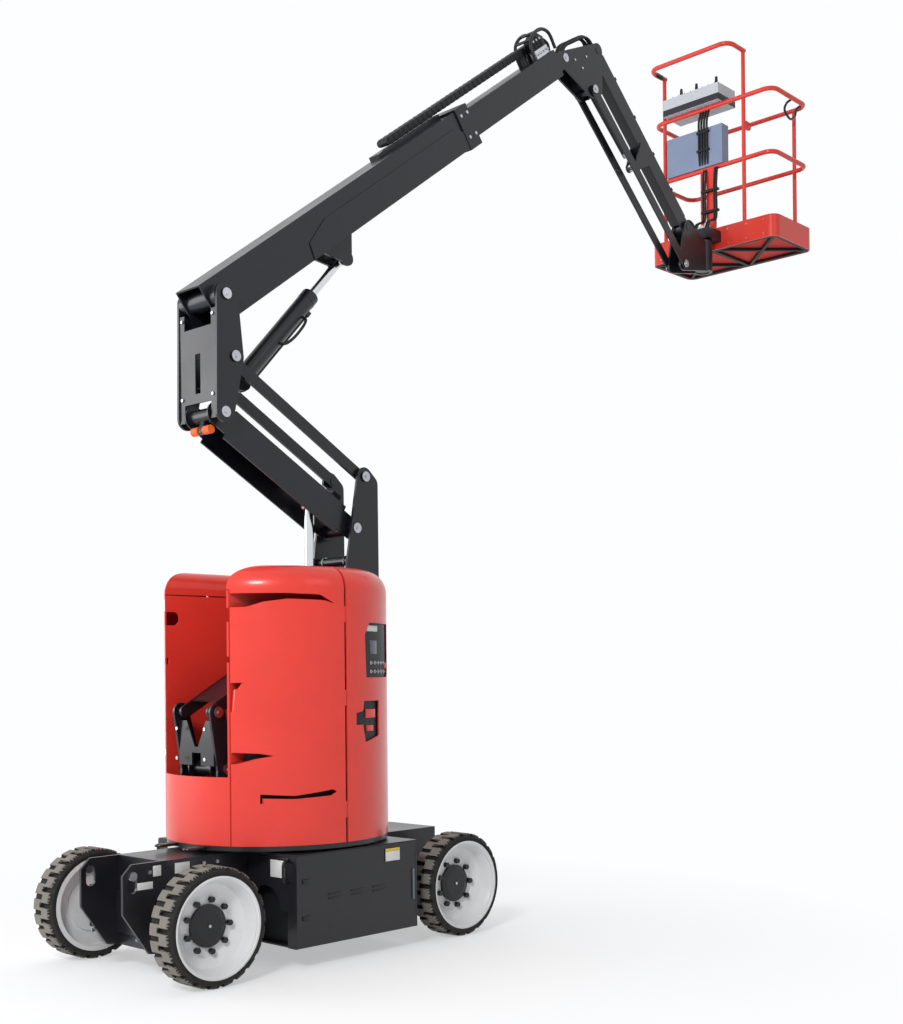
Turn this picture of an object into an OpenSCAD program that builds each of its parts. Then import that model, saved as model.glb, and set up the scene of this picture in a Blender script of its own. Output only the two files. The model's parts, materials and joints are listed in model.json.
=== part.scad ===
// Articulating boom lift: wheeled chassis, slewing turntable, two-stage riser, telescopic boom, jib and basket.
// Millimetres, +Z up, +X towards the basket. The origin is on the ground under the slewing axis.

/* [Undercarriage] */
// Distance between the steer axle and the drive axle
wheelbase = 1650; // [1600:10:1750]
// Overall width across the outer faces of the tyres
overall_width = 1190; // [1180:5:1250]
// Tyre outer diameter over the tread blocks
tyre_diameter = 559; // [545:1:570]
// Tyre width
tyre_width = 165; // [150:1:172]
// Diameter of the rim where the tyre seats
rim_diameter = 444; // [430:1:450]
// Diameter of the visible rim lip
lip_diameter = 476; // [466:1:482]
// Depth of the wheel dish behind the outer face
dish_depth = 100; // [80:1:110]
// Diameter of the wheel hub flange
hub_diameter = 200; // [180:1:210]
// Distance of the king pin from the centre plane
king_pin_y = 383; // [378:1:388]
// Width of the narrow centre frame between the wheels
frame_width = 380; // [340:2:384]
// Underside of the frame above the ground
frame_bottom = 113; // [90:1:140]
// Top of the frame above the ground
frame_top = 555; // [540:1:560]
// Front plane of the steer axle plate, measured ahead of the axle
axle_plate_ahead = 40; // [30:1:60]
// Reach of the tie-down plates ahead of the steer axle
tie_plate_reach = 250; // [220:1:270]
// Thickness of the frame plates
frame_plate = 16; // [12:1:20]
// Width of the tie-down slots
tie_slot_w = 50; // [40:1:60]
// Distance of the side boxes from the steer axle
box_from_steer = 465; // [430:1:480]
// Distance of the side boxes from the drive axle
box_from_drive = 360; // [330:1:380]
// Width of the machine over the side box doors
box_span = 1170; // [1150:2:1176]
// Thickness of the side box walls and doors
box_wall = 8; // [5:1:12]

/* [Turntable] */
// Radius of the turntable covers
cover_r = 585; // [575:1:590]
// Underside of the turntable deck
deck_bottom = 572; // [568:1:580]
// Thickness of the turntable deck
deck_thick = 24; // [18:1:30]
// Top of the covers
cover_top = 1985; // [1950:1:2010]
// Wall thickness of the moulded covers
cover_wall = 9; // [6:1:12]
// Half width of the valley between the covers
valley_half = 262; // [240:1:280]
// Radius of the rounded shoulders of the covers
shoulder_r = 120; // [90:1:140]
// Distance of the cover seam from the slewing axis
seam_x = -30; // [-60:1:0]
// Height of the counterweight castings
weight_h = 850; // [700:5:900]

/* [Riser] */
// Length of the riser arms between pins
riser_len = 1035; // [1020:1:1050]
// Angle of both riser stages above level
riser_angle = 30; // [26:0.5:34]
// Position of the lower arm pin along X
base_pin_x = -447; // [-460:1:-430]
// Height of the lower arm pin
base_pin_z = 966; // [940:1:990]
// Height between the arm pins of the mid upright
mid_pin_h = 758; // [740:1:780]
// Sideways offset of the link pins from the arm pins
link_dx = 60; // [40:1:80]
// Height of the link pins above the arm pins
link_dz = 288; // [270:1:300]
// Depth of the riser arms
arm_depth = 170; // [150:1:180]
// Depth of the riser links
link_depth = 64; // [50:1:72]
// Radius of the main pivot pins
pin_r = 22; // [18:1:24]

/* [Boom] */
// Angle of the boom above level
boom_angle = 37.3; // [30:0.1:45]
// Boom pivot ahead of the upright's arm pin
boom_pivot_dx = 6; // [0:1:12]
// Boom pivot above the upright's arm pin
boom_pivot_dz = 593; // [580:1:605]
// Outer boom height
boom_h = 230; // [220:1:240]
// Outer boom width
boom_w = 200; // [180:1:204]
// Pivot pin below the top face of the boom
boom_pin_drop = 95; // [85:1:105]
// Outer boom length ahead of the pivot
boom_len = 2330; // [2250:5:2400]
// Boom plate thickness
boom_wall = 8; // [5:1:10]
// Fly boom height
fly_h = 170; // [160:1:178]
// Fly boom width
fly_w = 150; // [140:1:158]
// Distance from the boom pivot to the head pin
head_reach = 3570; // [3500:5:3620]

/* [Jib] */
// Jib pin ahead of the head pin
jib_pin_dx = 374; // [350:1:390]
// Jib pin above the head pin
jib_pin_dz = 178; // [165:1:190]
// Jib length between pins
jib_len = 1435; // [1400:5:1470]
// Angle of the jib below level
jib_drop = 41.6; // [36:0.1:48]
// Depth of the jib arm
jib_depth = 110; // [95:1:120]
// Width of the jib arm
jib_w = 76; // [68:1:78]
// Link pin behind the jib pin
jib_link_dx = -60; // [-70:1:-50]
// Link pin below the jib pin
jib_link_dz = -290; // [-300:1:-280]

/* [Basket] */
// Basket length along the boom direction
basket_x = 560; // [520:5:620]
// Basket width
basket_y = 1110; // [1060:5:1160]
// Gap from the jib end pin to the basket
basket_gap = 395; // [380:1:420]
// Underside of the basket below the jib end pin
basket_drop = 80; // [60:1:100]
// Height of the toe board
toe_h = 165; // [140:1:180]
// Guard rail height above the basket underside
rail_h = 1110; // [1080:5:1150]
// Rail tube diameter
rail_d = 34; // [30:1:38]

/* [Hidden] */
$fn = 64;
// Running clearance at pins and rods
pin_gap = 0.3;
// Seat clearance between pieces of one body
seat = 0.3;
// Clearance of swinging panels
swing_gap = 6;
// Groove between the fixed covers and the hoods
seam_gap = 14;
steer_x = -wheelbase/2;
drive_x = wheelbase/2;
tyre_r = tyre_diameter/2;
box_front = steer_x + box_from_steer;
box_rear = drive_x - box_from_drive;
rim_r = rim_diameter/2;
lip_r = lip_diameter/2;
hub_r = hub_diameter/2;
wheel_y = overall_width/2 - tyre_width/2;
frame_half = frame_width/2;
box_out = box_span/2;
deck_top = deck_bottom + deck_thick;
cover_bottom = deck_top + seat;
// Riser pins in the XZ plane: base, mid upright and upper upright
B1 = [base_pin_x, base_pin_z];
B2 = B1 + [-link_dx, link_dz];
M1 = along(B1, riser_angle, riser_len);
M2 = M1 + [-link_dx, link_dz];
T1 = M1 + [0, mid_pin_h];
T2 = T1 + [link_dx, link_dz];
U1 = along(T1, 180 - riser_angle, riser_len);
U2 = U1 + [link_dx, link_dz];
// Riser cylinder pins, equally far from the mid upright on both arms
riser_cyl_arm = 250;
C1 = along(M1, 180 + riser_angle, riser_cyl_arm);
C2 = along(T1, 180 - riser_angle, riser_cyl_arm);
// Boom pivot, lift cylinder pins and head pin
P = U1 + [boom_pivot_dx, boom_pivot_dz];
boom_mid = boom_h/2 - boom_pin_drop;
ear_reach = 969;
ear_drop = boom_h - boom_pin_drop + 100;
E1 = U1 + [197, 191];
E2 = along(P, boom_angle, ear_reach, -ear_drop);
H = along(P, boom_angle, head_reach, -boom_mid);
// Jib pins
J1 = H + [jib_pin_dx, jib_pin_dz];
J2 = J1 + [jib_link_dx, jib_link_dz];
K1 = along(J1, -jib_drop, jib_len);
K2 = K1 + [jib_link_dx, jib_link_dz];
jib_cyl_drop = 260;
G1 = J1 + [0, -jib_cyl_drop];
jib_ear_s = 790;
jib_ear_t = -175;
G2 = along(J1, -jib_drop, jib_ear_s, jib_ear_t);
// Basket frame
basket_x0 = K1[0] + basket_gap;
basket_z0 = K1[1] - basket_drop;
rotator_x = basket_x0 - 115;
rail_r = rail_d/2;
// Half-width layers of the riser, from the centre plane outwards
arm1_half = 95;
arm2_half = 100;
link1_in = 105;
link1_out = 120;
link2_in = 112;
link2_out = 127;
mid_in = 135;
mid_out = 150;
base_in = 145;
base_out = 160;
top_in = 155;
top_out = 170;
arm_plate = 10;

// Point at distance s along and t across a direction a from p, in the XZ plane
function along(p, a, s, t = 0) = p + [s*cos(a) - t*sin(a), s*sin(a) + t*cos(a)];
function heading(p, q) = atan2(q[1] - p[1], q[0] - p[0]);
function flat(p, y = 0) = [p[0], y, p[1]];

// Extrude an XZ outline from y0 to y1
module slab(y0, y1) rotate([90, 0, 0]) translate([0, 0, -y1]) linear_extrude(y1 - y0) children();
// The same outline on both sides of the centre plane
module both(y0, y1) {
    slab(y0, y1) children();
    slab(-y1, -y0) children();
}
// Extrude a YZ outline from x0 to x1
module run(x0, x1) translate([x0, 0, 0]) rotate([90, 0, 90]) linear_extrude(x1 - x0) children();
// Round spot in the XZ plane
module spot(p, r) translate(p) circle(r);
// Straight bar with round ends in the XZ plane
module bar(p, q, r1, r2) {
    n = along([0, 0], heading(p, q), 0, 1);
    spot(p, r1);
    spot(q, r2);
    polygon([p + n*r1, q + n*r2, q - n*r2, p - n*r1]);
}
// Closed plate through several pins with rounded corners
module plate(pts, r) {
    for (i = [0:len(pts) - 1]) bar(pts[i], pts[(i + 1)%len(pts)], r, r);
    polygon(pts);
}
// Pin across the machine
module pin(p, r, y0, y1) slab(y0, y1) spot(p, r);
// Place children in a frame whose X axis points along angle a in the XZ plane
module aim(p, a) translate(flat(p)) rotate([0, -a, 0]) children();
module both_sides() {
    children();
    mirror([0, 1, 0]) children();
}

// Ring of revolution about Y at wheel centre x, with its profile drawn as [radius, offset outwards]
module wheel_turn(x, side) translate([x, side*wheel_y, tyre_r]) rotate([-90*side, 0, 0])
    rotate_extrude() children();

// Tyre carcass with staggered blocks cut at both shoulders
lug_count = 22;
lug_depth = 18;
lug_groove = 26;
module tyre(x, side) color("dimgray") difference() {
    wheel_turn(x, side) polygon([
        [rim_r + seat, -tyre_width/2 + 8], [lip_r + 6, -tyre_width/2], [tyre_r - 22, -tyre_width/2],
        [tyre_r, -tyre_width/2 + 20], [tyre_r, tyre_width/2 - 20], [tyre_r - 22, tyre_width/2],
        [lip_r + 6, tyre_width/2], [rim_r + seat, tyre_width/2 - 8]]);
    translate([x, side*wheel_y, tyre_r]) for (i = [0:lug_count - 1], e = [-1, 1])
        rotate([0, (i + e/4)*360/lug_count, 0])
            translate([-lug_groove/2, e > 0 ? -8 : 8 - tyre_width, tyre_r - lug_depth])
                cube([lug_groove, tyre_width, 2*lug_depth]);
}

// Deep-dished rim: lip, barrel, cone and hub flange
module wheel(x, side) {
    w = tyre_width/2;
    t = 8;
    dish = w - dish_depth;
    color("white") wheel_turn(x, side) polygon([
        [rim_r, -w + 7], [lip_r, -w], [lip_r, -w - lip_proud], [rim_r - t, -w - lip_proud], [rim_r - t, dish - t],
        [hub_r + 40, dish - t], [hub_r + 40, dish - 2*t], [spindle_r + pin_gap, dish - 2*t],
        [spindle_r + pin_gap, dish], [hub_r + 45, dish], [rim_r - 26, dish + 26],
        [rim_r - t, w - 30], [lip_r - t, w + lip_proud], [lip_r, w + lip_proud], [lip_r, w], [rim_r, w - 7]]);
    color("black") wheel_turn(x, side) polygon([
        [0, dish + seat], [hub_r, dish + seat], [hub_r, dish + 14], [hub_r - 30, dish + 22], [0, dish + 22]]);
}
spindle_r = 45;
lip_proud = 0.5;

// Narrow centre frame with the steer axle beam, tie-down plates and top plate
tie_x = steer_x - tie_plate_reach;
frame_end = drive_x + 170;
rear_lug_x = frame_end + 65;
rear_lug_z = frame_top - 115;
rear_lug_r = 25;
module tie_plate_outline() difference() {
    polygon([[steer_x - axle_plate_ahead, frame_bottom], [steer_x - axle_plate_ahead - 70, frame_bottom + 10],
        [tie_x, frame_bottom + 210], [tie_x, frame_top - 50], [tie_x + 50, frame_top],
        [steer_x - axle_plate_ahead, frame_top]]);
    bar([tie_x + 52, frame_top - 60], [tie_x + 52, frame_top - 112], tie_slot_w/2, tie_slot_w/2);
}
module chassis_frame() color([0.1, 0.1, 0.14]) {
    difference() {
        union() {
            translate([steer_x - axle_plate_ahead, -frame_half, frame_bottom])
                cube([frame_end - steer_x + axle_plate_ahead, frame_width, frame_top - frame_bottom]);
            both(frame_half - frame_plate, frame_half) tie_plate_outline();
            // Tie-down lugs behind the drive axle
            both(frame_half - frame_plate, frame_half)
                bar([rear_lug_x - 100, rear_lug_z], [rear_lug_x, rear_lug_z], 60, 60);
            // Steer axle beam with its king pin jaws
            translate([steer_x - 55, -king_pin_y - 42, tyre_r - 105]) cube([110, 2*king_pin_y + 84, 210]);
        }
        both_sides() translate([steer_x - 60, king_pin_y - 48, tyre_r - 62]) cube([120, 100, 124]);
        both_sides() translate([steer_x - 15, king_pin_y - 110, tyre_r - 26]) cube([75, 120, 52]);
        both_sides() translate([steer_x, king_pin_y, 0]) cylinder(r = pin_r, h = frame_top);
        both_sides() translate([drive_x, frame_half - 60, tyre_r]) rotate([-90, 0, 0])
            cylinder(r = spindle_r + 30, h = 200);
        pin([rear_lug_x, rear_lug_z], rear_lug_r, -frame_half - 1, frame_half + 1);
        // Passage of the tie rod
        translate([tie_rod_x, -frame_half - 1, tie_rod_z]) rotate([-90, 0, 0])
            cylinder(r = tie_rod_r + swing_gap, h = frame_width + 2);
        // Hollow under the slewing ring
        translate([steer_x + 120, -frame_half + frame_plate, frame_bottom - 1])
            cube([wheelbase - 240, frame_width - 2*frame_plate, frame_top - frame_bottom - 40]);
    }
    both_sides() translate([steer_x, king_pin_y, tyre_r - 105]) cylinder(r = pin_r - seat, h = 210);
}

// Hollow side box between the wheels, open towards its door
box_bottom = 105;
box_h = frame_top - 100;
module side_box(side) color([0.1, 0.1, 0.14]) scale([1, side, 1]) difference() {
    translate([box_front, frame_half + seat, box_bottom])
        cube([box_rear - box_front, box_out - box_wall - frame_half - 2*seat, box_h]);
    translate([box_front + box_wall, frame_half + box_wall, box_bottom + box_wall])
        cube([box_rear - box_front - 2*box_wall, box_out, box_h - 2*box_wall]);
    // Arched opening in the steer-side end
    translate([box_front - 1, 0, 0]) run(0, box_wall + 2) {
        translate([frame_half + 40, 100]) square([box_out - frame_half - 110, 180]);
        translate([frame_half + 155, 280]) circle(115);
    }
}
module battery(side) color([0.2, 0.2, 0.22]) scale([1, side, 1])
    translate([box_front + 60, frame_half + box_wall + 10, box_bottom + box_wall + seat])
        cube([box_rear - box_front - 120, box_out - frame_half - 50, 330]);
module battery_door(side) color([0.1, 0.1, 0.14]) scale([1, side, 1]) {
    translate([box_front, box_out - box_wall, box_bottom + 5])
        cube([door_hinge_x - box_front, box_wall, frame_top - box_bottom - 5]);
    both_door_hinges() cylinder(r = door_hinge_r, h = 60);
}
door_hinge_r = 9;
door_hinge_x = box_rear - box_wall - door_hinge_r - seat;
module both_door_hinges() for (z = [190, 430]) translate([door_hinge_x, box_out - box_wall/2 - 1, z]) children();

// Drive axle housing with a hub motor at each end
module drive_axle() color([0.12, 0.12, 0.15]) both_sides() {
    translate([drive_x, frame_half + seat, tyre_r]) rotate([-90, 0, 0])
        cylinder(r = 95, h = wheel_y - tyre_width/2 - frame_half - 22);
    translate([drive_x, frame_half - 55, tyre_r]) rotate([-90, 0, 0]) cylinder(r = spindle_r + 29, h = 60);
    translate([drive_x, wheel_y - tyre_width/2 - 30, tyre_r]) rotate([-90, 0, 0])
        cylinder(r = spindle_r, h = tyre_width - dish_depth + 28);
}
steer_arm = 160;
steer_boss_y = king_pin_y - 23;
steer_boss_h = 40;
tie_rod_r = 16;
tie_rod_x = steer_x + steer_arm;
tie_rod_z = tyre_r + steer_boss_h/2 + seat + tie_rod_r;
module knuckle(side) color([0.12, 0.12, 0.15]) scale([1, side, 1]) difference() {
    union() {
        translate([steer_x, king_pin_y, tyre_r - 57]) cylinder(r = 42, h = 114);
        translate([steer_x, king_pin_y, tyre_r]) rotate([-90, 0, 0])
            cylinder(r = spindle_r, h = wheel_y + tyre_width/2 - dish_depth - king_pin_y - 2);
        // Steering arm behind the axle
        translate([steer_x + 20, steer_boss_y - 15, tyre_r - steer_boss_h/2]) cube([steer_arm - 20, 30, steer_boss_h]);
        translate([tie_rod_x, steer_boss_y, tyre_r - steer_boss_h/2]) cylinder(r = 24, h = steer_boss_h);
    }
    translate([steer_x, king_pin_y, 0]) cylinder(r = pin_r + pin_gap, h = frame_top);
}
module tie_rod() color("silver") translate([tie_rod_x, -steer_boss_y, tie_rod_z]) rotate([-90, 0, 0])
    cylinder(r = tie_rod_r, h = 2*steer_boss_y);

// Turntable deck with the slewing ring below it
module turntable_deck() color([0.1, 0.1, 0.14]) {
    translate([0, 0, deck_bottom]) cylinder(r = cover_r - 4, h = deck_thick, $fn = 128);
    translate([0, 0, frame_top + seat]) cylinder(r = frame_half - 10, h = deck_bottom - frame_top);
}
module counterweight() color([0.16, 0.16, 0.18]) both_sides() intersection() {
    translate([0, 0, cover_bottom]) cylinder(r = cover_r - cover_wall - 60, h = weight_h, $fn = 128);
    translate([-cover_r, valley_half + 20, 0]) cube([2*cover_r, cover_r, 3000]);
}
// Clevis that carries the first riser stage
module base_bracket() color([0.12, 0.12, 0.15]) {
    both(base_in, base_out) {
        bar(B1, B2, 60, 45);
        polygon([[B1[0] - 75, deck_top + seat], [B1[0] + 120, deck_top + seat], B1 + [60, 0], B1 + [-60, 0]]);
    }
    pin(B1, pin_r, -base_out, base_out);
    both(link1_in - 4, base_out + 8) spot(B2, pin_r);
    // Notched tie plate across the clevis
    run(B1[0] - 75, B1[0] - 65) difference() {
        translate([-base_in - 1, 985]) square([2*base_in + 2, 225]);
        polygon([[-82, 1211], [82, 1211], [14, 1078], [-14, 1078]]);
        translate([-38, 980]) square([76, 68]);
    }
}

// Outer form of the covers: a drum with rounded shoulders
module drum(inset) rotate_extrude($fn = 128) {
    r = cover_r - inset;
    top = cover_top - inset;
    square_to = top - shoulder_r;
    translate([0, cover_bottom]) square([r, square_to - cover_bottom]);
    square([r - shoulder_r, top]);
    translate([r - shoulder_r, square_to]) circle(shoulder_r);
}
// Half of the drum on one side of the valley, with a rounded inner top edge
module half_drum(inset) intersection() {
    drum(inset);
    run(-cover_r, cover_r) {
        y0 = -valley_half - inset;
        top = cover_top - inset;
        r = 90;
        translate([-cover_r, cover_bottom]) square([cover_r + y0, top - r - cover_bottom]);
        translate([-cover_r, cover_bottom]) square([cover_r + y0 - r, top - cover_bottom]);
        translate([y0 - r, top - r]) circle(r);
    }
}
module cover_shell() difference() {
    half_drum(0);
    difference() {
        half_drum(cover_wall);
        translate([-cover_r, -valley_half - 1, 0]) cube([2*cover_r, 2, 3000]);
    }
    translate([-cover_r, -cover_r, 0]) cube([2*cover_r, cover_r, cover_bottom + 0.01]);
}
// Fixed moulding on the boom side with the valley wall
module cover_front(side) color([0.85, 0.16, 0.12]) scale([1, -side, 1]) difference() {
    intersection() {
        cover_shell();
        union() {
            translate([seam_x + seam_gap/2, -cover_r, 0]) cube([cover_r - seam_x, cover_r, 3000]);
            translate([-cover_r, -valley_half - cover_wall, 0]) cube([2*cover_r, cover_r, cover_top - 130]);
        }
    }
    // Openings of the control panel and the latch, and the notches on the valley edge
    slab(-cover_r - 1, -valley_half - cover_wall - 1) {
        polygon([[120, 1420], [110, 1640], [150, 1700], [400, 1700], [400, 1440], [370, 1420]]);
        polygon([[40, 1180], [40, 1240], [90, 1250], [100, 1300], [240, 1300], [240, 1120], [110, 1090],
            [90, 1180]]);
    }
    slab(-valley_half - cover_wall - 1, -valley_half + 1) {
        translate([-600, 1700]) square([130, 70]);
        translate([-470, 1735]) circle(35);
        translate([-600, 1500]) square([100, 30]);
    }
}
// Slots moulded through the hood: under the cap, beside the bracket and above the skirt
module hood_slots() {
    polygon([[-600, 1772], [-470, 1772], [-410, 1798], [-320, 1812], [-150, 1806], [-92, 1790],
        [-170, 1834], [-320, 1840], [-600, 1840]]);
    polygon([[-600, 1000], [-600, 1062], [-430, 1052], [-380, 1040], [-440, 1026], [-500, 1000]]);
    polygon([[-430, 806], [-430, 852], [-300, 842], [-110, 866], [-88, 852], [-120, 836],
        [-300, 826], [-418, 832], [-418, 806]]);
    polygon([[-600, 1240], [-600, 1400], [-478, 1400], [-490, 1372], [-502, 1366], [-508, 1260], [-540, 1240]]);
}
// Hinged hood over the service side
hood_hinge_r = 6;
hood_hinge_y = cover_r - hood_hinge_r;
module hood(side) color([0.85, 0.16, 0.12]) scale([1, -side, 1]) {
    difference() {
        intersection() {
            cover_shell();
            difference() {
                translate([-cover_r, -cover_r, 0]) cube([cover_r + seam_x - seam_gap/2, cover_r, 3000]);
                translate([-cover_r, -valley_half - cover_wall - swing_gap, 0])
                    cube([2*cover_r, cover_r, cover_top - 124]);
            }
        }
        slab(-cover_r - 1, -valley_half) hood_slots();
    }
    // Hinge barrels in the seam with their leaves
    for (z = [720, 1280, 1700]) {
        translate([seam_x, -hood_hinge_y, z]) cylinder(r = hood_hinge_r - 0.5, h = 80);
        translate([seam_x - seam_gap, -hood_hinge_y - 1, z + 5]) cube([seam_gap, 4, 70]);
    }
}
// Skirt across the valley below the bracket
module tail_panel() color([0.85, 0.16, 0.12]) intersection() {
    translate([0, 0, cover_bottom]) difference() {
        cylinder(r = cover_r, h = tail_top - cover_bottom, $fn = 128);
        translate([0, 0, -1]) cylinder(r = cover_r - cover_wall, h = 3000, $fn = 128);
    }
    translate([-cover_r, -valley_half + seat, 0]) cube([cover_r, 2*(valley_half - seat), 3000]);
}
tail_top = 935;
// Panel behind the opening on the right-hand side
module ground_controls() color([0.15, 0.15, 0.18]) intersection() {
    translate([80, -cover_r, 1390]) cube([340, 260, 340]);
    cylinder(r = cover_r - cover_wall - seat, h = 3000, $fn = 128);
    difference() {
        cylinder(r = cover_r, h = 3000, $fn = 128);
        cylinder(r = cover_r - cover_wall - 60, h = 3000, $fn = 128);
    }
}

// Channel arm: two side plates with round ends and one web plate
web_start = 90;
module riser_arm(p, q, half) {
    a = heading(p, q);
    len = norm(q - p);
    difference() {
        union() {
            both(half - arm_plate, half) bar(p, q, arm_depth/2 - 25, arm_depth/2 - 25);
            both(half - arm_plate, half) translate(p) rotate(a) translate([web_start, -arm_depth/2])
                square([len - 2*web_start, arm_depth]);
            aim(p, a) translate([web_start, -half, -arm_depth/2]) cube([len - 2*web_start, 2*half, arm_plate]);
            pin(p, pin_r + 16, -half, half);
            pin(q, pin_r + 16, -half, half);
        }
        pin(p, pin_r + pin_gap, -half - 1, half + 1);
        pin(q, pin_r + pin_gap, -half - 1, half + 1);
    }
}
module riser_link(p, q, y0, y1) difference() {
    both(y0, y1) bar(p, q, link_depth/2, link_depth/2);
    both(y0 - 1, y1 + 1) {
        spot(p, pin_r + pin_gap);
        spot(q, pin_r + pin_gap);
    }
}
module riser_lower_arm() color([0.12, 0.12, 0.16]) {
    riser_arm(B1, M1, arm1_half);
    pin(C1, pin_r, -arm1_half + arm_plate, arm1_half - arm_plate);
}
module riser_lower_link() color([0.12, 0.12, 0.16]) {
    riser_link(B2, M2, link1_in, link1_out);
    aim(B2, heading(B2, M2)) translate([60, -link1_in, link_depth/2 - 10])
        cube([riser_len - 380, 2*link1_in, 8]);
}
// Level cylinder above the upper arm, from its block to its lug
level_from = [130, -130];
level_to = [550, -104];
level_r = 17;
level_block = [64, 60, 70];
module riser_upper_arm() color([0.12, 0.12, 0.16]) {
    difference() {
        riser_arm(T1, U1, arm2_half);
        // Window for the cylinder eye
        aim(T1, heading(T1, U1)) translate([riser_cyl_arm - 85, -50, -arm_depth/2 - 1])
            cube([170, 100, arm_plate + 2]);
    }
    aim(T1, heading(T1, U1)) {
        translate(flat(level_from)) rotate([0, 90 - heading(level_from, level_to), 0])
            cylinder(r = level_r, h = norm(level_to - level_from));
        translate([level_from[0] - level_block[0]/2, -level_block[1]/2, 1 - arm_depth/2 - level_block[2]])
            cube(level_block);
        slab(-10, 10) polygon([level_to + [-16, 0], level_to + [16, 0], [level_to[0] + 26, 1 - arm_depth/2],
            [level_to[0] - 26, 1 - arm_depth/2]]);
    }
}
module riser_upper_link() color([0.12, 0.12, 0.16]) riser_link(T2, U2, link2_in, link2_out);
// Plates that carry the upper stage on the lower one
module mid_upright() color([0.12, 0.12, 0.16]) {
    both(mid_in, mid_out) plate([M1, M1 + [110, 0], T2 + [45, -40], T2, T1 + [-20, -180], M2], 52);
    pin(M1, pin_r, -mid_out, mid_out);
    pin(T1, pin_r, -mid_out, mid_out);
    pin(T1 + [-25, -180], 25, -mid_in, mid_in);
    both(link1_in - 4, mid_out + 8) spot(M2, pin_r);
    both(link2_in - 4, mid_out + 8) spot(T2, pin_r);
}
// Upright that carries the boom
back_x = U1[0] - 46;
module upper_upright() color([0.12, 0.12, 0.16]) {
    both(top_in, top_out) {
        plate([U1, U2, P + [20, 0], P], 55);
        translate([back_x, U1[1]]) square([60, P[1] - U1[1]]);
    }
    run(back_x, back_x + arm_plate) difference() {
        translate([-top_in - 1, U1[1] - 30]) square([2*top_in + 2, P[1] - U1[1] - 42]);
        // Clearance of the boom's heel, slot and arch
        translate([-boom_w/2 - 14, P[1] - boom_h + boom_pin_drop - 16]) square([boom_w + 28, 400]);
        translate([-22, U1[1] + 108]) square([44, 202]);
        translate([-arm2_half - 12, U1[1] - 40]) square([2*arm2_half + 24, 100]);
    }
    both(52, 66) {
        spot(E1, 42);
        polygon([E1 + [0, -42], E1 + [0, 42], [back_x, E1[1] + 90], [back_x, E1[1] - 42]]);
    }
    pin(E1, pin_r, -66, 66);
    pin(U1, pin_r, -top_out, top_out);
    pin(P, pin_r, -top_out - 8, top_out + 8);
    both(link2_in - 4, top_out + 8) spot(U2, pin_r);
}

// Cylinder barrel from its foot pin p along angle a
module barrel(p, a, len, r, rod, half) color([0.14, 0.14, 0.17]) difference() {
    union() {
        pin(p, r*0.95, -half, half);
        aim(p, a) translate([r*0.6, 0, 0]) rotate([0, 90, 0]) cylinder(r = r, h = len - r*0.6);
    }
    pin(p, pin_r + pin_gap, -2*r, 2*r);
    aim(p, a) translate([r + 12, 0, 0]) rotate([0, 90, 0]) cylinder(r = r - 9, h = len - r - 32);
    aim(p, a) translate([r + 12, 0, 0]) rotate([0, 90, 0]) cylinder(r = rod + pin_gap, h = len);
}
// Rod whose eye is at q, reaching back along angle a
module piston_rod(q, a, len, rod, half) color("silver") {
    aim(q, a) translate([-len, 0, 0]) rotate([0, 90, 0]) cylinder(r = rod, h = len - 10);
    pin(q, rod + 8, -half, half);
}
riser_rod_r = 27;
module riser_barrel() barrel(C1, 90, 640, 46, riser_rod_r, 40);
module riser_rod() piston_rod(C2, 90, 672, riser_rod_r, 34);
boom_cyl_a = heading(E1, E2);
module boom_barrel() barrel(E1, boom_cyl_a, 750, 48, 24, 44);
module boom_rod() piston_rod(E2, boom_cyl_a, 740, 24, 30);
jib_cyl_a = heading(G1, G2);
module jib_barrel() barrel(G1, jib_cyl_a, 522, 32, 16, 28);
module jib_rod() piston_rod(G2, jib_cyl_a, 500, 16, jib_ear_in - seat);

// Box section along X with its top at z1
module box_tube(x0, x1, w, z0, z1, t) difference() {
    translate([x0, -w/2, z0]) cube([x1 - x0, w, z1 - z0]);
    translate([x0 - 1, -w/2 + t, z0 + t]) cube([x1 - x0 + 2, w - 2*t, z1 - z0 - 2*t]);
}
boom_z1 = boom_pin_drop;
boom_z0 = boom_pin_drop - boom_h;
fly_z0 = -boom_mid - fly_h/2;
fly_z1 = -boom_mid + fly_h/2;
module boom_outer() color([0.12, 0.12, 0.16]) difference() {
    union() {
        aim(P, boom_angle) {
            box_tube(-70, boom_len, boom_w, boom_z0, boom_z1, boom_wall);
            translate([tray_start, 0, boom_z1 - 1]) cube([boom_len - 80 - tray_start, carrier_w, tray_h + 1]);
            // Front collar and its wear pads
            difference() {
                translate([boom_len - 60, -boom_w/2 - 10, boom_z0 - 10]) cube([120, boom_w + 20, boom_h + 20]);
                translate([boom_len - 70, -fly_w/2 - 1, fly_z0 - 1]) cube([140, fly_w + 2, fly_h + 2]);
            }
        }
        pin(P, 60, -top_in + 3, top_in - 3);
        aim(P, boom_angle) both(50, 66) {
            spot([ear_reach, -ear_drop], 42);
            polygon([[ear_reach - 150, boom_z0 + 4], [ear_reach + 120, boom_z0 + 4], [ear_reach + 41, -ear_drop],
                [ear_reach - 41, -ear_drop]]);
        }
        // Doubler plates on the boom sides
        aim(P, boom_angle) both(boom_w/2 - 2, boom_w/2 + 6) polygon([
            [ear_reach - 260, boom_z0 + 1], [ear_reach - 240, boom_z0 + 90], [ear_reach - 60, boom_z0 + 150],
            [boom_len - 120, boom_z0 + 150], [boom_len - 40, boom_z0 + 90], [boom_len - 40, boom_z0 + 1]]);
    }
    pin(P, pin_r + pin_gap, -top_out, top_out);
}
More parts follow.
